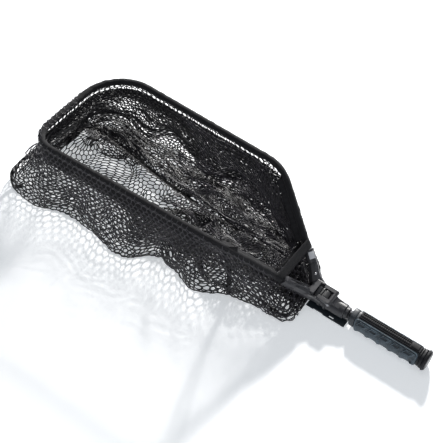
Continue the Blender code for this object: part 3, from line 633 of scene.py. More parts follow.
def gather_layer(a, v):
    """Handful of netting bunched up at the front end of the bottom seam."""
    s = v / GATHER_DEEP
    angle = math.tau * 1.35 * a + 0.9 * np.sin(4 * s) + 0.5 * np.sin(math.tau * 2 * a)
    pleat = 1 + 0.30 * np.sin(math.tau * 7 * a + 3 * s) * smooth(s, 0.05, 0.4)
    radius = (0.001 + 0.050 * s) * pleat
    x = GATHER_AT[0] + radius * np.cos(angle) * 1.25 + 0.022 * s
    y = GATHER_AT[1] + radius * np.sin(angle) * 0.66
    mound = 0.034 * np.maximum(1 - s, 0.0) ** 0.8 * (1 + 0.30 * np.sin(math.tau * 3 * a + 6 * s))
    z = GATHER_AT[2] + mound + 0.012 * (np.sin(math.pi * s) * np.sin(math.tau * 5 * a))
    return np.stack([x, y, np.maximum(z, 0.002)], axis=1), s <= 1.0


def hex_edges(girth, deep):
    """Legs of the six-sided meshes as (u0, v0, u1, v1) on the flat netting, u as a share."""
    columns = int(round(girth / CELL))
    width = girth / columns
    side = width / math.sqrt(3)
    rows = int(deep / (1.5 * side)) + 2
    c, r = np.meshgrid(np.arange(columns), np.arange(rows))
    x = (c + 0.5 * (r % 2)) * width
    v = r * 1.5 * side
    left, right = x - width / 2, x + width / 2
    legs = [np.stack([left, v + side / 2, x, v], axis=-1),
            np.stack([x, v, right, v + side / 2], axis=-1),
            np.stack([left, v + side / 2, left, v + 1.5 * side], axis=-1)]
    legs = np.concatenate([leg.reshape(-1, 4) for leg in legs])
    return legs / np.array([girth, 1, girth, 1]), side


NET_CUT = {}              # each net piece: width, length and area of its flat netting


def netting(name, surface, girth, deep, seed, keep=None, steps=2, thin=None, twine=TWINE):
    """Six-sided meshes of round twine on a surface of (u, v)."""
    legs, side = hex_edges(girth, deep)
    if keep is not None:
        legs = legs[keep(legs)]
    t = np.linspace(0, 1, steps + 1)
    u = legs[:, 0:1] * (1 - t) + legs[:, 2:3] * t
    v = legs[:, 1:2] * (1 - t) + legs[:, 3:4] * t
    flat_u = (u + STRAY / girth * noise(u, v * 2.5, seed, 4, 12)).ravel()
    flat_v = np.maximum(v + STRAY * noise(u, v * 2.5, seed + 1, 4, 12), 0.0).ravel()
    points, inside = surface(flat_u, flat_v)
    beside, _ = surface(flat_u + 0.0012, flat_v)
    below, _ = surface(flat_u, flat_v + 0.002)
    normal = np.cross(beside - points, below - points)
    good = inside.reshape(len(legs), steps + 1).all(axis=1)
    points, normal = (field.reshape(len(legs), steps + 1, 3)[good] for field in (points, normal))
    tangent = unit(np.gradient(points, axis=1))
    normal = square_to(unit(normal), tangent)
    side_way = np.cross(tangent, normal)
    count = len(points)
    swell = TWINE_R * (1 + 0.20 * (2 * t - 1) ** 4)
    sides = TWINE_SIDES
    angle = (np.arange(sides) * math.tau / sides)[:, None]
    ring = normal[:, :, None, :] * np.cos(angle) + side_way[:, :, None, :] * np.sin(angle)
    swell = np.broadcast_to(swell, (count, steps + 1))
    if thin is not None:
        swell = swell * thin(flat_v.reshape(len(legs), steps + 1)[good])
    verts = points[:, :, None, :] + ring * swell[:, :, None, None]
    verts[..., 2] = np.maximum(verts[..., 2], 0.0003)
    verts = verts.reshape(-1, 3)
    base = (np.arange(count) * (steps + 1) * sides)[:, None, None]
    row = (np.arange(steps) * sides)[None, :, None]
    k = np.arange(sides)
    k2 = (k + 1) % sides
    quads = np.stack([base + row + k, base + row + k2, base + row + sides + k2,
                      base + row + sides + k], axis=-1).reshape(-1, 4)
    length = np.tile(np.repeat(t * side, sides), count)
    around = np.tile(np.arange(sides) / sides, count * (steps + 1))
    start = np.repeat(np.arange(count) * 0.0137 % 1.0, (steps + 1) * sides)
    uv = np.stack([length + start, around], axis=1)
    obj = quad_mesh(name, verts, quads, twine, uv)
    cell = girth / round(girth / CELL)
    NET_CUT[name] = (girth, deep, count / 3 * cell * cell * math.sqrt(3) / 2)
    return obj


def column_at(x, side):
    """Share of the way round whose top edge stands at x on one side."""
    index = np.where(TOP_EDGE[:, 1] * side > 0.02)[0]
    return index[np.argmin(np.abs(TOP_EDGE[index, 0] - x))] / COLS


SLACK_NEAR, SLACK_FAR = column_at(-0.150, -1), column_at(-0.190, 1)
deepest = float(DEPTH.max())
net_near = netting("net_bag_near", main_layer, GIRTH, deepest, 71,
                   lambda legs: legs[:, 0] < 0.5, thin=lambda v: 1.08)
net_far = netting("net_bag_far", main_layer, GIRTH, deepest, 71,
                  lambda legs: legs[:, 0] >= 0.5)
for obj in (net_near, net_far):
    NET_CUT[obj.name] = (GIRTH / 2,) + NET_CUT[obj.name][1:]
# the outer layer and the inner slack take the lighter twine (painted light), the outer slack the darker
# twine (painted shade)
net_outer = netting("net_outer_layer", outer_layer, GIRTH * 0.96, OUTER_DEPTH, 81,
                    thin=lambda v: 0.70 + 0.30 * smooth(v, WRAP, WRAP * 2), twine=TWINE_LIT)
BACK = GIRTH * (SLACK_FAR - SLACK_NEAR)
net_slack = netting("net_slack_outer", slack_layer(SLACK_NEAR, SLACK_FAR, (0.050, 0.130), 121),
                    2 * BACK, deepest, 91, steps=1, twine=TWINE_SHADED)
net_slack2 = netting("net_slack_inner", slack_layer(SLACK_NEAR, SLACK_FAR, (0.215,), 141),
                     1.04 * BACK, deepest, 95, twine=TWINE_LIT)
FRONT_START, FRONT_END = column_at(-0.12, 1), 1.05
net_slack3 = netting("net_slack_front", slack_layer(FRONT_START, FRONT_END, (0.060,), 161),
                     1.16 * GIRTH * (FRONT_END - FRONT_START), deepest, 99, steps=1)
net_gather = netting("net_gather", gather_layer, GATHER_GIRTH, GATHER_DEEP, 97)


def strip(name, centre, across, normal, width, thick, material, closed=False):
    """Flat band swept along points: across is its width direction, normal its thickness."""
    lanes = 6
    profile = [(-0.5 + i / lanes, 0.5) for i in range(lanes + 1)]
    profile += [(0.5 - i / lanes, -0.5) for i in range(lanes + 1)]
    n, m = len(centre), len(profile)
    run = walk(centre)
    verts, uv = [], []
    for i in range(n):
        for a, b in profile:
            verts.append(centre[i] + across[i] * (a * width) + normal[i] * (b * thick))
            uv.append((a * width, run[i]))
    faces = skin(n, m, closed, flip=True)
    if not closed:
        end = (n - 1) * m
        for k in range(lanes):
            faces.append((k, k + 1, m - 2 - k, m - 1 - k))
            faces.append((end + m - 1 - k, end + m - 2 - k, end + k + 1, end + k))
    float(walk(centre, closed)[-1])
    return quad_mesh(name, verts, faces, material, uv)


COLLAR_TOP, COLLAR_H = 0.0165, 0.034     # drop below the netting's top edge, and width
COLLAR_END_X = 0.100      # the webbing ends here, on each arm
COLLAR_NEAR_RAISE = 0.0095


def collar():
    """Woven band round the outside of the netting, as two skins joined along their edges."""
    count, lanes = 400, 7
    first, last = column_at(COLLAR_END_X, 1), column_at(COLLAR_END_X, -1) + 1.0
    u = np.linspace(first, last, count)
    rows = []
    top_z = read_grid(EVEN, u, np.zeros(count))[0][:, 2]
    raise_near = COLLAR_NEAR_RAISE * smooth(0.53 - (u % 1.0), 0.0, 0.1) * smooth(u % 1.0, 0.02, 0.09)
    for drop in np.linspace(COLLAR_TOP, COLLAR_TOP + COLLAR_H, lanes):
        level = RIM_Z - EDGE_DROP - drop + raise_near
        p, _ = read_grid(EVEN, u, np.maximum(top_z - level, 0.0))
        p[:, 2] = level
        rows.append(p)
    normal = TOP_NORMAL[(u * COLS).astype(int) % COLS]
    total = walk(rows[3])
    wave = u % 1.0
    ripple = noise(wave, 0.1, 91, 3, 6)
    ripple2 = noise(wave, 0.7, 92, 3, 6)
    verts, uv = [], []
    for offset in (0.0034, 0.0022):
        for r in range(lanes):
            a = r / (lanes - 1)
            bow = 0.0008 * (1 - (2 * a - 1) ** 2) + 0.0009 * ripple * (1 - a) + 0.0013 * ripple2 * a
            pts = rows[r] + normal * (offset + bow)[:, None]
            pts[:, 2] += 0.0012 * ripple2
            verts.append(pts)
            uv.append(np.stack([np.full(count, a * COLLAR_H), total], axis=1))
    faces = []

    def wall(a, b, step, flip):
        quad = np.stack([a, a + step, b + step, b], axis=1)
        faces.append(quad[:, ::-1] if flip else quad)
    k, r = np.arange(count - 1), np.arange(lanes - 1)
    for side in (0, 1):
        for row in range(side * lanes, side * lanes + lanes - 1):
            wall(row * count + k, (row + 1) * count + k, 1, not side)
    for row in (0, lanes - 1):
        wall(row * count + k, (lanes + row) * count + k, 1, row > 0)
    for col in (0, count - 1):
        wall(r * count + col, (lanes + r) * count + col, count, col == 0)
    return quad_mesh("collar_webbing", np.concatenate(verts), np.concatenate(faces), WEBBING,
                     np.concatenate(uv))


collar_obj = collar()


def swept_tube(name, path, radius, material, around, shape, thick):
    """Round cloth sleeve along a path, open at both ends, with UVs in metres."""
    tangent = unit(np.gradient(path, axis=0))
    side_way = unit(np.cross(tangent, np.array((0, 0, 1.0))))
    top = np.cross(side_way, tangent)
    run = walk(path)
    angle = np.arange(around) * math.tau / around
    verts, uv = [], []
    for inset in (0.0, thick):
        for i in range(len(path)):
            for a in angle:
                r = shape(run[i], a) - inset
                verts.append(path[i] + side_way[i] * math.cos(a) * r + top[i] * math.sin(a) * r)
                uv.append((run[i], a * radius))
    faces = skin(len(path), around)
    inner = len(path) * around
    faces += [tuple(inner + corner for corner in face[::-1]) for face in faces]
    last = inner - around
    for k in range(around):
        k2 = (k + 1) % around
        faces.append((k2, k, inner + k, inner + k2))
        faces.append((last + k, last + k2, inner + last + k2, inner + last + k))
    return quad_mesh(name, verts, faces, material, uv)


hoop_length = walk(HOOP)[-1]
sleeve_path = along(HOOP, np.linspace(0.0040, hoop_length - 0.0040, 700))
rng = np.random.default_rng(7)
puckers = rng.uniform(0, math.tau, (6, 2))


def sleeve_shape(run, angle):
    """The sleeve's radius: puckers, and a sewn hem below."""
    arm = fall(min(run, hoop_length - run), 0.075, 0.135)
    r = SLEEVE_R * (1 + 0.10 * arm)
    for k, (a, b) in enumerate(puckers):
        r += 0.00012 * math.sin(run * (140 + 47 * k) + a + (k % 3) * angle + b)
    hem = math.cos(angle + math.pi / 2)
    if hem > 0.80:
        r += 0.0022 * (hem - 0.80) / 0.20
    return r


sleeve_obj = swept_tube("rim_sleeve_cloth", sleeve_path, SLEEVE_R, SLEEVE, 24, sleeve_shape, 0.0011)


STRAP_WIDTH = 0.0185


def v_strap():
    """Webbing round both sleeves, across the V."""
    reach = 0.0102
    radius = SLEEVE_R + 0.0011
    sideways = Vector((0, 1, 0))
    points, across, normals = [], [], []
    slope = Vector((arm_direction(1).x, 0, arm_direction(1).z)).normalized()
    lift = sideways.cross(slope).normalized()
    if lift.z < 0:
        lift = -lift
    ends = {side: arm_tip(side) + arm_direction(side) * reach for side in (1, -1)}
    for side, face, sag in ((1, lift, 0.0016), (-1, -lift, 0.0030)):
        start, end = ends[-side], ends[side]
        for t in np.linspace(0, 1, 14):
            middle = Vector((start.x, start.y + (end.y - start.y) * t, start.z))
            points.append(middle + face * (radius - sag * math.sin(math.pi * t)))
            across.append(slope)
            normals.append(face)
        for a in np.linspace(0, math.pi, 13)[1:-1]:
            out = face * math.cos(a) + sideways * side * math.sin(a)
            points.append(ends[side] + out * radius)
            across.append(arm_direction(side).lerp(slope, 0.3).normalized())
            normals.append(out)
    arrays = (np.array([tuple(v) for v in vectors]) for vectors in (points, across, normals))
    return strip("v_strap_webbing", *arrays, STRAP_WIDTH, 0.0014, WEBBING, True)


strap_obj = v_strap()
TAPE_WIDTH = 0.0102


def ribbon(name, start, end):
    """Binding tape sewn to the netting along a line of (u, v)."""
    t = np.linspace(0, 1, 60)
    u = start[0] + (end[0] - start[0]) * t
    v = start[1] + (end[1] - start[1]) * t
    centre, _ = main_layer(u, v)
    beside, _ = main_layer(u + 0.002, v)
    tangent = unit(np.gradient(centre, axis=0))
    across = square_to(beside - centre, tangent)
    normal = np.cross(across, tangent)
    return strip(name, centre + normal * 0.0022, across, normal, TAPE_WIDTH, 0.0012, WEBBING)


def bottom_seam():
    """Tape along the seam where the two sides of the bottom meet."""
    u = np.linspace(0.02, 0.98, 160) / 2
    centre, _ = main_layer(u, DEPTH[(u * COLS).astype(int) % COLS] - 0.0005)
    centre[:, 2] += 0.0016
    for k in range(2):
        centre[:, k] = np.convolve(np.pad(centre[:, k], 4, mode="edge"), np.ones(9) / 9, "valid")
    tangent = unit(np.gradient(centre, axis=0))
    across = unit(np.cross(np.array((0, 0.35, 0.94)), tangent))
    normal = np.cross(tangent, across)
    return strip("bottom_seam_tape", centre, across, normal, TAPE_WIDTH, 0.0016, WEBBING)


seam_obj = bottom_seam()
front_u = 0.035
ribbon_front = ribbon("front_seam_tape", (front_u, 0.012), (front_u + 0.045, 0.235))
side_u = column_at(0.085, -1)
ribbon_side = ribbon("side_seam_tape", (side_u, 0.012), (side_u - 0.004, 0.215))

for obj, nodes in ((net_near, ("net_wall",)), (net_far, ("net_wall", "net_floor")),
                   (net_outer, ("net_wall",)), (net_slack, ("net_floor",)),
                   (net_gather, ("net_floor",)), (net_slack2, ("net_floor",)),
                   (net_slack3, ("net_floor",)),
                   (collar_obj, ("collar_band",)),
                   (sleeve_obj, ("rim_sleeve_far", "rim_sleeve_near", "rim_sleeve_front")),
                   (strap_obj, ("v_strap",))):
    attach(obj, "head")
    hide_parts(*nodes)
for obj in (seam_obj, ribbon_front, ribbon_side):
    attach(obj, "head")
NETS = (net_near, net_far, net_outer, net_slack, net_slack2, net_slack3, net_gather)

# ------------------------------------------------------------------- moulded hard pieces
def moulding(name, verts, faces, material, bevel=0.0, segments=2, sharp=38):
    """Smooth-shaded mesh with its sharp edges rounded: sharp is the least angle of a hard edge."""
    mesh = bpy.data.meshes.new(name)
    mesh.from_pydata([tuple(map(float, p)) for p in verts], [], faces)
    mesh.validate()
    obj = add_object(name, mesh, material, False)
    bm = bmesh.new()
    bm.from_mesh(mesh)
    if bevel:
        bmesh.ops.remove_doubles(bm, verts=bm.verts, dist=1e-6)
    bmesh.ops.recalc_face_normals(bm, faces=bm.faces)
    if bevel:
        hard = [e for e in bm.edges if len(e.link_faces) == 2 and e.calc_face_angle() > 0.5]
        bmesh.ops.bevel(bm, geom=hard, offset=bevel, segments=segments, profile=0.5,
                        affect="EDGES", clamp_overlap=True)
    bm.to_mesh(mesh)
    bm.free()
    mesh.shade_smooth()
    mesh.set_sharp_from_angle(angle=math.radians(sharp))
    return obj


def loft(name, rings, material, width, segments=1):
    """Closed body through rings of equal point counts, ends filled."""
    count = len(rings[0])
    faces = skin(len(rings), count)
    faces.append(tuple(range(count))[::-1])
    faces.append(tuple(range((len(rings) - 1) * count, len(rings) * count)))
    return moulding(name, [p for ring in rings for p in ring], faces, material, width, segments)


core_lo, core_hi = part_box("grip_core")
GRIP_Z = (core_lo.z + core_hi.z) / 2
GRIP_HALF_Y, GRIP_HALF_Z = 0.0150, 0.0166
GRIP_ROUND = 0.625        # power that squares the section up: 1 is an ellipse
COLLAR_LEN = 0.0118       # the collars at both ends of the grip
PANEL_X0, PANEL_X1 = core_lo.x + COLLAR_LEN + 0.0006, core_hi.x - COLLAR_LEN + 0.0006
PITCH = 0.0252            # finger spacing
PAD_W = 0.0102            # middle of the mouldings, measured round the curve
ROLL = 14.0               # degrees the rubber sits turned about the grip's axis, towards the far side


def grip_section(x, angle, lift, side=-1):
    """Point of the grip's rounded section: angle in degrees up from one side, lift outwards."""
    angle = math.radians(angle - side * ROLL)
    y, z = math.cos(angle), math.sin(angle)
    return (x, side * (GRIP_HALF_Y * math.copysign(abs(y) ** GRIP_ROUND, y) + y * lift),
            GRIP_Z + GRIP_HALF_Z * math.copysign(abs(z) ** GRIP_ROUND, z) + z * lift)


def grip_rings(stations):
    """Whole rings of the grip's section: stations are (x, lift)."""
    return [[grip_section(x, a, lift) for a in range(0, 360, 6)] for x, lift in stations]


def grid_slab(name, xs, qs, place, material):
    """Closed slab: place(x, q, side) gives the outer (side 1) or inner (side 0) point."""
    rows, cols = len(xs), len(qs)
    n = rows * cols
    verts = [place(x, q, side) for side in (1, 0) for x in xs for q in qs]
    faces = []
    for i in range(rows - 1):
        for j in range(cols - 1):
            a = i * cols + j
            faces.append((a, a + 1, a + cols + 1, a + cols))
            faces.append((n + a, n + a + cols, n + a + cols + 1, n + a + 1))
    rim = ([(0, j) for j in range(cols)] + [(i, cols - 1) for i in range(1, rows)]
           + [(rows - 1, j) for j in range(cols - 2, -1, -1)] + [(i, 0) for i in range(rows - 2, 0, -1)])
    ids = [i * cols + j for i, j in rim]
    for a, b in zip(ids, ids[1:] + ids[:1]):
        faces.append((a, n + a, n + b, b))
    return moulding(name, verts, faces, material, sharp=50)


def grip_panel(side):
    """Rubber side of the grip: border, five slanting mouldings, finger grooves turned under."""
    half = 0.0214         # half of the rubber's width, measured round the curve
    corner = 0.0085
    ends = corner * (1 - np.cos(np.linspace(0.12, math.pi / 2, 10)))
    xs = np.concatenate([PANEL_X0 + ends, np.linspace(PANEL_X0 + corner, PANEL_X1 - corner, 210)[1:-1],
                         PANEL_X1 - ends[::-1]])
    qs = np.concatenate([np.linspace(-1, 0.0, 16)[:-1], np.linspace(0.0, 0.93, 44)[:-1],
                         np.linspace(0.93, 1, 7)])
    middle = (PANEL_X0 + PANEL_X1) / 2

    def dish_at(x, w):
        """How deep inside one of the mouldings' dishes a spot lies, 0 to 1."""
        k = min(max(round((x - middle) / PITCH), -2), 2)
        slant = x - middle - k * PITCH - 0.55 * (w - PAD_W)
        across = fall(abs(slant + 0.0012), 0.0056, 0.0070)
        return slant, across * fall(abs(w - PAD_W + 0.0014), 0.0024, 0.0036)

    def place(x, q, outer):
        end = min(x - PANEL_X0, PANEL_X1 - x)
        top = half
        if end < corner:
            top = half - corner + math.sqrt(max(corner ** 2 - (corner - end) ** 2, 0.0))
        w = -half + (q + 1) / 2 * (half + top)
        angle = -14 + 72 * w / half
        if not outer:
            return grip_section(x, angle, -0.0004, side)
        if end < corner and w > half - corner:
            gap = corner - math.hypot(corner - end, w - half + corner)
        else:
            gap = min(end, half - w)
        height = 0.0004 + 0.0010 * smooth(gap, 0.0, 0.0010)
        border = smooth(gap, 0.0006, 0.0014) * fall(gap, 0.0026, 0.0036)
        height += 0.0011 * border * smooth(w, -0.006, -0.001)
        slant, dish = dish_at(x, w)
        pad = fall(abs(slant), 0.0090, 0.0102) * fall(abs(w - PAD_W), 0.0050, 0.0060)
        height += 0.0018 * pad - 0.0014 * dish
        crest = (0.5 + 0.5 * math.cos(math.tau * (x - middle) / PITCH + math.pi)) ** 3
        low = fall(w, -0.001, 0.006)
        height += low * (0.0014 + 0.0022 * crest) * smooth(end, 0.0, 0.004)
        return grip_section(x, angle, max(height, 0.0003), side)
    obj = grid_slab("grip_side_rubber_" + SIDE_NAME[side], xs, qs, place, PANEL)
    # faces deep in the mouldings' dishes get the darker copy of the rubber: painted shade
    obj.data.materials.append(RECESS_SHADE)
    cols, count = len(qs), len(xs) * len(qs)
    for face in obj.data.polygons:
        if max(face.vertices) < count:
            row, col = divmod(min(face.vertices), cols)
            x = xs[row]
            w = -half + (qs[col] + 1) * half
            if PANEL_X0 + corner < x < PANEL_X1 - corner and dish_at(x, w)[1] > 0.6:
                face.material_index = 1
    return obj


def grip_top():
    """Ribbed strip along the top, with a small tab near the butt."""
    x0, x1 = PANEL_X0 + 0.0040, PANEL_X1 + 0.0006
    half = 0.0070
    xs = np.linspace(x0, x1, 330)
    qs = np.linspace(-1, 1, 41)

    def place(x, q, outer):
        y = q * half
        angle = 90 - 24.5 * q
        if not outer:
            return grip_section(x, angle, -0.0004)
        gap = min(x - x0, x1 - x, half - abs(y))
        height = 0.0004 + 0.0014 * smooth(gap, 0.0, 0.0012)
        field = smooth(gap, 0.0016, 0.0024) * fall(x, x1 - 0.0245, x1 - 0.0235)
        ribs = 0.5 + 0.5 * math.cos(math.tau * y / 0.00345)
        steps = 0.72 + 0.28 * smooth(math.cos(math.tau * x / 0.0042), -0.5, 0.2)
        height += field * 0.0015 * smooth(ribs, 0.25, 0.75) * steps
        tab = (smooth(x, x1 - 0.0215, x1 - 0.0205) * fall(x, x1 - 0.0055, x1 - 0.0045)
               * fall(abs(y), 0.0042, 0.0052))
        return grip_section(x, angle, height + 0.0012 * tab)
    return grid_slab("grip_ribbed_strip", xs, qs, place, GRIP)


def grip_body():
    """Smooth body the rubber sits on, seen as a band beside the ribbed strip."""
    stations = ((PANEL_X0 - 0.0030, -0.0008), (PANEL_X0 - 0.0020, 0.0), (PANEL_X1, 0.0),
                (PANEL_X1 + 0.0010, -0.0008))
    return loft("grip_smooth_body", grip_rings(stations), COLLAR, 0.0002)


def grip_lug():
    """Lanyard eye standing out of the rubber near the butt."""
    centre = Vector(grip_section(PANEL_X1 - 0.0080, -22, 0.0030))
    out = (centre - Vector((centre.x, 0.0, GRIP_Z))).normalized()
    rings = []
    for k in range(25):
        a = math.tau * k / 24
        ring_way = Vector((1, 0, 0)) * math.cos(a) + out * math.sin(a)
        mid = centre + ring_way * 0.0030
        side_way = Vector((1, 0, 0)).cross(out)
        rings.append([tuple(mid + ring_way * (0.0012 * math.cos(b)) + side_way * (0.0016 * math.sin(b)))
                      for b in np.linspace(0, math.tau, 11)[:-1]])
    return loft("grip_lanyard_eye", rings, PANEL, 0.0001)


def grip_collar(name, x0, x1, stations, material):
    """Stepped collar round the core: stations are (share of the length, growth)."""
    rings = grip_rings([(x0 + (x1 - x0) * share, lift) for share, lift in stations])
    return loft(name, rings, material, 0.0003)


grip_pieces = [grip_panel(1), grip_panel(-1), grip_top(), grip_body(), grip_lug(),
               grip_collar("grip_front_collar", core_lo.x + 0.0002, core_lo.x + COLLAR_LEN,
                           ((0, -0.0012), (0.10, 0.0006), (0.16, 0.0011), (0.60, 0.0013), (0.96, 0.0013),
                            (1.0, 0.0008)), COLLAR),
               grip_collar("grip_rear_collar", core_hi.x - COLLAR_LEN + 0.0014, core_hi.x - 0.0002,
                           ((0, 0.0004), (0.06, 0.0014), (0.30, 0.0016), (0.34, 0.0002), (0.42, 0.0002),
                            (0.46, 0.0018), (0.92, 0.0026), (1.0, 0.0020)), GRIP)]
for obj, nodes in zip(grip_pieces, (("grip_panel_far",), ("grip_panel_near",), ("grip_top_strip",),
                                    ("grip_underside",), (), (), ())):
    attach(obj, "grip")
    if nodes:
        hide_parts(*nodes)


def place_rings(path, ups, profile):
    """Rings of a section carried along a path: profile gives (across, up) points for each station."""
    path = [Vector(p) for p in path]
    rings = []
    for i, p in enumerate(path):
        way = (path[min(i + 1, len(path) - 1)] - path[max(i - 1, 0)]).normalized()
        up = (ups[i] - way * ups[i].dot(way)).normalized()
        across = way.cross(up)
        rings.append([tuple(p + across * a + up * b) for a, b in profile(i)])
    return rings


def chamfered(half_a, half_b, cut):
    """Eight corners of a rectangle with its corners cut off."""
    in_a, in_b = half_a - cut, half_b - cut
    return [(in_a, half_b), (half_a, in_b), (half_a, -in_b), (in_a, -half_b),
            (-in_a, -half_b), (-half_a, -in_b), (-half_a, in_b), (-in_a, half_b)]


def curve_through(points, steps):
    """Smooth curve through a few points."""
    pts = [Vector(p) for p in points]
    pts = [pts[0] * 2 - pts[1]] + pts + [pts[-1] * 2 - pts[-2]]
    out = []
    for i in range(1, len(pts) - 2):
        for k in range(steps):
            t = k / steps
            a, b, c, d = pts[i - 1:i + 3]
            out.append(0.5 * (2 * b + (c - a) * t + (2 * a - 5 * b + 4 * c - d) * t * t
                              + (3 * b - a - 3 * c + d) * t ** 3))
    out.append(pts[-2])
    return out


LEVER_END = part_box("latch_lever")[1].x
pin_lo, pin_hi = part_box("hinge_pin")
PIN_Z = (pin_lo.z + pin_hi.z) / 2


def arm_up(side):
    """Upward direction square to one arm."""
    way = arm_direction(side)
    return (Vector((0.0, 0.0, 1.0)) - way * way.z).normalized()


def arm_socket(side):
    """Faceted socket for one arm, with a stepped mouth."""
    way = -arm_direction(side)
    up = arm_up(side)
    stations = ((0.0000, 0.0088, 0.0088, 0.0030), (0.0008, 0.0097, 0.0097, 0.0038),
                (0.0044, 0.0098, 0.0098, 0.0040), (0.0050, 0.0091, 0.0091, 0.0038),
                (0.0062, 0.0091, 0.0091, 0.0038), (0.0068, 0.0097, 0.0096, 0.0042),
                (0.0180, 0.0097, 0.0096, 0.0042), (0.0276, 0.0092, 0.0094, 0.0040))
    rings = place_rings([arm_tip(side) + way * s[0] for s in stations], [up] * len(stations),
                        lambda i: chamfered(*stations[i][1:]))
    return loft("arm_socket_shell_" + SIDE_NAME[side], rings, HUB, 0.0004, 2)


def outer_rib(side):
    """Flowing rib down the outer edge of the Y, from the socket to the ear beside the hinge."""
    back = arm_tip(side) - arm_direction(side) * 0.0280
    mid_z = (AXIS_Z + PIN_Z) / 2
    points = [back + Vector((-0.0010, side * 0.0040, 0.0006)), (0.2070, side * 0.0285, 0.0540),
              (0.2200, side * 0.0232, 0.0445), (0.2350, side * 0.0188, 0.0392),
              (0.2500, side * 0.0163, mid_z)]
    path = curve_through(points, 7)
    n = len(path)
    ups = [Vector((0.25, side * 0.55, 0.8))] * n

    def profile(i):
        t = i / (n - 1)
        wide = 0.0066 - 0.0036 * smooth(t, 0.0, 1.0)
        tall = 0.0058 - 0.0022 * smooth(t, 0.3, 1.0)
        return chamfered(wide, tall, 0.0017)
    return loft("hub_outer_rib_" + SIDE_NAME[side], place_rings(path, ups, profile), HUB, 0.0005, 2)


def long_groove(side):
    """Raised oblong border on top of one prong, leaving a long groove inside it."""
    back = arm_tip(side) - arm_direction(side) * 0.0100
    end = Vector((0.2170, side * 0.0165, 0.0480))
    up = arm_up(side)
    way = (end - back).normalized()
    up = (up - way * up.dot(way)).normalized()
    across = way.cross(up)
    start = back + up * 0.0094
    length = (end - back).length
    loop = []
    for k in range(40):
        a = math.tau * k / 40
        long_way = math.cos(a)
        shift = length / 2 - 0.0040
        loop.append(start + way * (length / 2 + math.copysign(shift, long_way) * min(1, abs(long_way) * 6)
                                   + 0.0032 * long_way) + across * 0.0032 * math.sin(a))
    verts = []
    for i, p in enumerate(loop):
        out = (loop[(i + 1) % 40] - loop[i - 1]).normalized().cross(up)
        for a, b in ((-0.0009, -0.0024), (-0.0006, 0.0008), (0.0006, 0.0008), (0.0009, -0.0024)):
            verts.append(p + out * a + up * b)
    return moulding("hub_groove_border_" + SIDE_NAME[side], verts, skin(40, 4, True, True), HUB, 0.0002, 1)


def hub_deck():
    """Cover between the two ears, over the lock ring, with two raised ridges."""
    x0, x1 = LEVER_END + 0.0008, 0.2598
    z0, z1 = PIN_Z - 0.0018, PIN_Z + 0.0040
    half = 0.0094
    outline = [(x0, z0), (x0, z1), (x0 + 0.0022, z1 + 0.0006), (x0 + 0.0042, z1 + 0.0006),
               (x0 + 0.0050, z1 - 0.0012), (x0 + 0.0080, z1 - 0.0012), (x0 + 0.0088, z1), (x0 + 0.0108, z1),
               (x1, z1 - 0.0016), (x1, z0 + 0.0012), (x1 - 0.0030, z0)]
    rings = [[(x, y, z) for x, z in outline] for y in np.linspace(-half, half, 5)]
    return loft("hub_deck", rings, DARK, 0.0004, 2)


def flap(side):
    """Cloth hem hanging inside one arm, where the netting is sewn on."""
    centre = along(HOOP[::side], np.linspace(0.0205, 0.150, 60))
    tangent = unit(np.gradient(centre, axis=0))
    across = square_to(np.array((0.0, -side * 0.80, -0.60)), tangent)
    normal = np.cross(tangent, across)
    fade = smooth(np.linspace(0, 1, 60), 0.0, 0.12)[:, None]
    wave = noise(np.linspace(0, 1, 60), 0.3, 17 + side, 3, 2)[:, None]
    centre = centre + across * (SLEEVE_R + 0.0052) + normal * 0.0012 * wave * fade
    return strip("arm_hem_" + SIDE_NAME[side], centre, across, normal, 0.0150, 0.0016, SLEEVE)


def painted_highlight_plate():
    """Pale plate on top of the far socket: painted highlight, where light glints off the socket's top face.
    """
    way, up = -arm_direction(1), arm_up(1)
    across = way.cross(up)
    rings = []
    for run, half, tall in ((0.0056, 0.0050, 0.0), (0.0060, 0.0058, 0.0006), (0.0200, 0.0062, 0.0006),
                            (0.0206, 0.0054, 0.0)):
        mid = TIP + way * run + up * 0.0092
        rings.append([tuple(mid + across * a + up * b) for a, b in
                      ((half, -0.0010), (half, tall - 0.0003), (half - 0.0005, tall),
                       (-half + 0.0005, tall), (-half, tall - 0.0003), (-half, -0.0010))])
    return loft("arm_socket_painted_highlight_far", rings, PAINTED_HIGHLIGHT, 0.0002)


hub_pieces = [(painted_highlight_plate(), ()), (arm_socket(1), ("arm_socket_far",)), (arm_socket(-1), ("arm_socket_near",)),
              (outer_rib(1), ()), (outer_rib(-1), ()), (long_groove(-1), ()),
              (hub_deck(), ())]
for obj, nodes in hub_pieces:
    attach(obj, "head")
    if nodes:
        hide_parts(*nodes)
arm_hems = [flap(1), flap(-1)]
for obj in arm_hems:
    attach(obj, "head")


# ----------------------------------------------------------------- cloth that casts no shadow
for obj in NETS + (collar_obj, sleeve_obj):
    if obj.name not in ("net_bag_near", "net_bag_far"):
        obj.visible_shadow = False      # studio fill light reaches past the folds and the bands

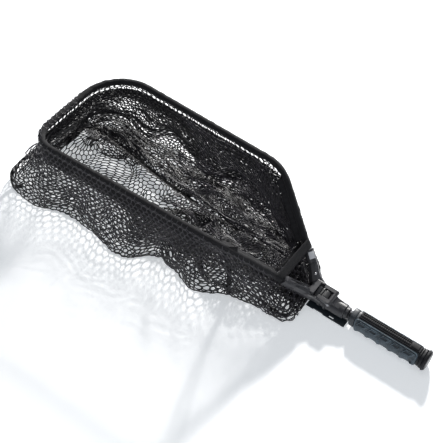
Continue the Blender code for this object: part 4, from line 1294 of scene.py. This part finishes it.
# --------------------------------------------------------------------------- stage
def stage():
    bpy.ops.mesh.primitive_plane_add(size=60, location=(0, 0, -0.0004))
    floor = bpy.context.object
    floor.name = "floor"
    g = Graph("floor_paper", (0.90, 0.905, 0.92), 0.75, 0.0, 0.2)
    g.shader.inputs["Emission Color"].default_value = (0.93, 0.97, 1.0, 1.0)
    g.shader.inputs["Emission Strength"].default_value = 0.42
    floor.data.materials.append(g.material)
    world = bpy.data.worlds.new("studio")
    bpy.context.scene.world = world
    world.use_nodes = True
    tree = world.node_tree
    backdrop = tree.nodes["Background"]
    backdrop.inputs["Color"].default_value = (0.84, 0.91, 1.0, 1)
    height = tree.nodes.new("ShaderNodeSeparateXYZ")
    tree.links.new(tree.nodes.new("ShaderNodeTexCoord").outputs["Generated"], height.inputs["Vector"])
    fade = tree.nodes.new("ShaderNodeMapRange")      # pale near the horizon, dimmer overhead
    for socket, value in (("From Min", 0.02), ("From Max", 0.24), ("To Min", 0.72), ("To Max", 0.15)):
        fade.inputs[socket].default_value = value
    tree.links.new(height.outputs["Z"], fade.inputs["Value"])
    tree.links.new(fade.outputs["Result"], backdrop.inputs["Strength"])
    bpy.context.scene.view_settings.view_transform = "Standard"
    lamps = (("key", (-0.80, 2.50, 1.46), 0.32, 175.0, (1.0, 0.985, 0.96)),
             ("top", (-0.10, 0.05, 2.6), 0.80, 5.0, (0.96, 0.98, 1.0)),
             ("side", (1.5, -1.3, 1.1), 0.40, 9.0, (1.0, 1.0, 1.0)))
    for name, place, size, power, colour in lamps:
        data = bpy.data.lights.new(name, "AREA")
        data.shape = "SQUARE"
        data.size = size
        data.energy = power
        data.color = colour
        lamp = bpy.data.objects.new(name, data)
        lamp.location = place
        lamp.rotation_mode = "QUATERNION"
        lamp.rotation_quaternion = (Vector((0, 0, 0.05)) - Vector(place)).to_track_quat("-Z", "Y")
        bpy.context.scene.collection.objects.link(lamp)


def camera():
    target = Vector((-0.029, 0.034, 0.022))
    distance, elevation, azimuth = 1.933, math.radians(52.7), math.radians(36.6)
    back = Vector((math.sin(azimuth) * math.cos(elevation),
                   -math.cos(azimuth) * math.cos(elevation), math.sin(elevation)))
    data = bpy.data.cameras.new("camera")
    data.sensor_width = 36.0
    data.lens = 74.43
    data.clip_start, data.clip_end = 0.05, 60.0
    cam = bpy.data.objects.new("camera", data)
    cam.location = target + back * distance
    cam.rotation_mode = "QUATERNION"
    cam.rotation_quaternion = (-back).to_track_quat("-Z", "Y")
    bpy.context.scene.collection.objects.link(cam)
    bpy.context.scene.camera = cam


stage()
camera()
